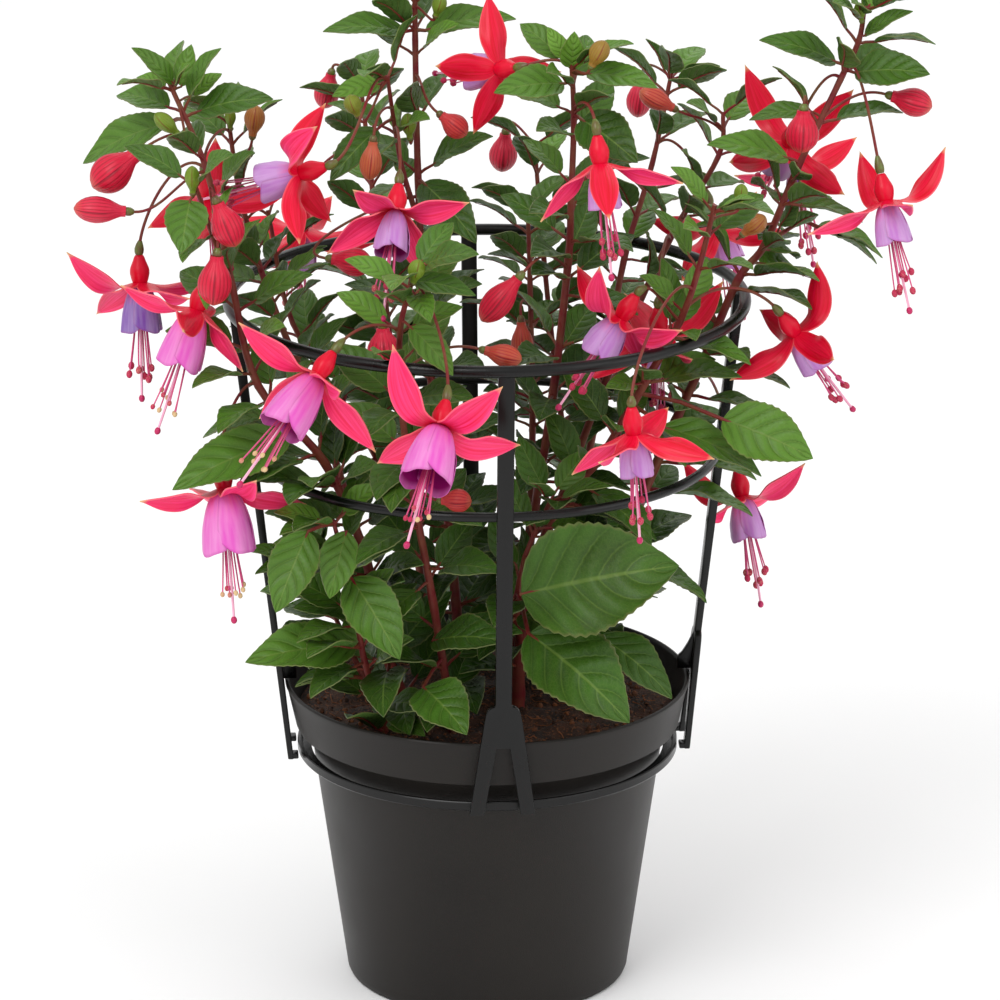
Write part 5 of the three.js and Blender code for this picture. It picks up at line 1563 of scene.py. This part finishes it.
class MakeSkirts(bpy.types.Operator):
    """Petals, stamens and pistil of every bloom"""
    bl_idname = "fuchsia.skirts"
    bl_label = "Skirts"

    def execute(self, context):
        settings = context.scene.fuchsia_bloom
        petals = {tone: petal_finish(tone, getattr(settings, f"{tone}_petals"), settings)
                  for tone in ("lavender", "violet", "purple")}
        strand, anther = strand_finish(settings), anther_finish(settings)
        for name, bloom in bloom_names():
            piece = Piece(f"{name}_skirt")
            for index in range(4):
                piece.add(petal(bloom, index, settings))
            for thread, tip, pistil in strands(bloom, settings):
                piece.add(thread, 1)
                piece.add(tip, 1 if pistil else 2)
            piece.finish([petals[bloom.tint], strand, anther], [f"{name}_corolla"], sharp=60)
        return {"FINISHED"}


class MakeStudio(bpy.types.Operator):
    """Pale floor, soft lights and the photograph's camera"""
    bl_idname = "fuchsia.studio"
    bl_label = "Studio"

    def execute(self, context):
        settings = context.scene.fuchsia_studio
        scene = context.scene
        bm = bmesh.new()
        bmesh.ops.create_circle(bm, cap_ends=True, segments=96, radius=14)
        mesh = bpy.data.meshes.new("studio_floor")
        bm.to_mesh(mesh)
        bm.free()
        paper = Finish("studio_floor", 0.9)
        body = tint(paper.speckle(3), settings.floor, tuple(0.97 * x for x in settings.floor))
        mesh.materials.append(paper.done(body))
        floor = add_object("studio_floor", mesh)
        floor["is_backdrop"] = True
        add_lamp("key_light", (-1.1, -1.7, 2.4), 1.6, settings.key_power)
        add_lamp("fill_light", (1.9, -1.2, 1.3), 1.8, settings.fill_power)
        add_lamp("back_light", (0.4, 1.8, 2.0), 1.8, settings.fill_power)
        world = bpy.data.worlds.new("studio")
        world.use_nodes = True
        sky = world.node_tree.nodes["Background"].inputs
        sky["Color"].default_value = (1, 1, 1, 1)
        sky["Strength"].default_value = settings.sky
        scene.world = world
        scene.view_settings.view_transform = "Standard"
        camera = add_object("camera", bpy.data.cameras.new("camera"))
        camera.data.lens = settings.lens
        camera.data.sensor_width = 36
        tilt = settings.elevation
        back = Vector((0, -math.cos(tilt), math.sin(tilt)))
        camera.location = Vector(settings.aim) + back * settings.distance
        camera.rotation_euler = (math.pi / 2 - tilt, 0, 0)
        scene.camera = camera
        return {"FINISHED"}


def add_lamp(name, place, size, power):
    lamp = bpy.data.lights.new(name, "AREA")
    lamp.size = size
    lamp.energy = power
    made = add_object(name, lamp)
    made.location = place
    made.rotation_euler = (Vector(place) - LAMP_AIM).to_track_quat("Z", "Y").to_euler()


STEPS = (MakePot, MakeCompost, MakeRings, MakeUprights, MakeStems, MakeLeaves, MakeBuds, MakeSepals, MakeSkirts,
         MakeStudio)
SETTINGS = {"fuchsia_pot": PotSettings, "fuchsia_cage": CageSettings, "fuchsia_foliage": FoliageSettings,
            "fuchsia_bloom": BloomSettings, "fuchsia_studio": StudioSettings}


class FuchsiaPanel(bpy.types.Panel):
    """Buttons and sizes for the potted fuchsia"""
    bl_idname = "VIEW3D_PT_fuchsia"
    bl_label = "Potted fuchsia"
    bl_space_type = "VIEW_3D"
    bl_region_type = "UI"
    bl_category = "Fuchsia"

    def draw(self, context):
        for step in STEPS:
            self.layout.operator(step.bl_idname)
        for name, group in SETTINGS.items():
            box = self.layout.box()
            for prop in group.__annotations__:
                box.prop(getattr(context.scene, name), prop)


def register():
    for group in SETTINGS.values():
        bpy.utils.register_class(group)
    for name, group in SETTINGS.items():
        setattr(bpy.types.Scene, name, PointerProperty(type=group))
    for made in (*STEPS, FuchsiaPanel):
        bpy.utils.register_class(made)


def unregister():
    for made in (FuchsiaPanel, *reversed(STEPS)):
        bpy.utils.unregister_class(made)
    for name, group in reversed(SETTINGS.items()):
        delattr(bpy.types.Scene, name)
        bpy.utils.unregister_class(group)


def plain(box):
    return [list(corner) for corner in box]


def main():
    register()
    for step in STEPS:
        group, name = step.bl_idname.split(".")
        getattr(getattr(bpy.ops, group), name)()
    {"cad": plain(CAD_BOX), "visual": plain(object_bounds())}


if __name__ == "__main__":
    main()
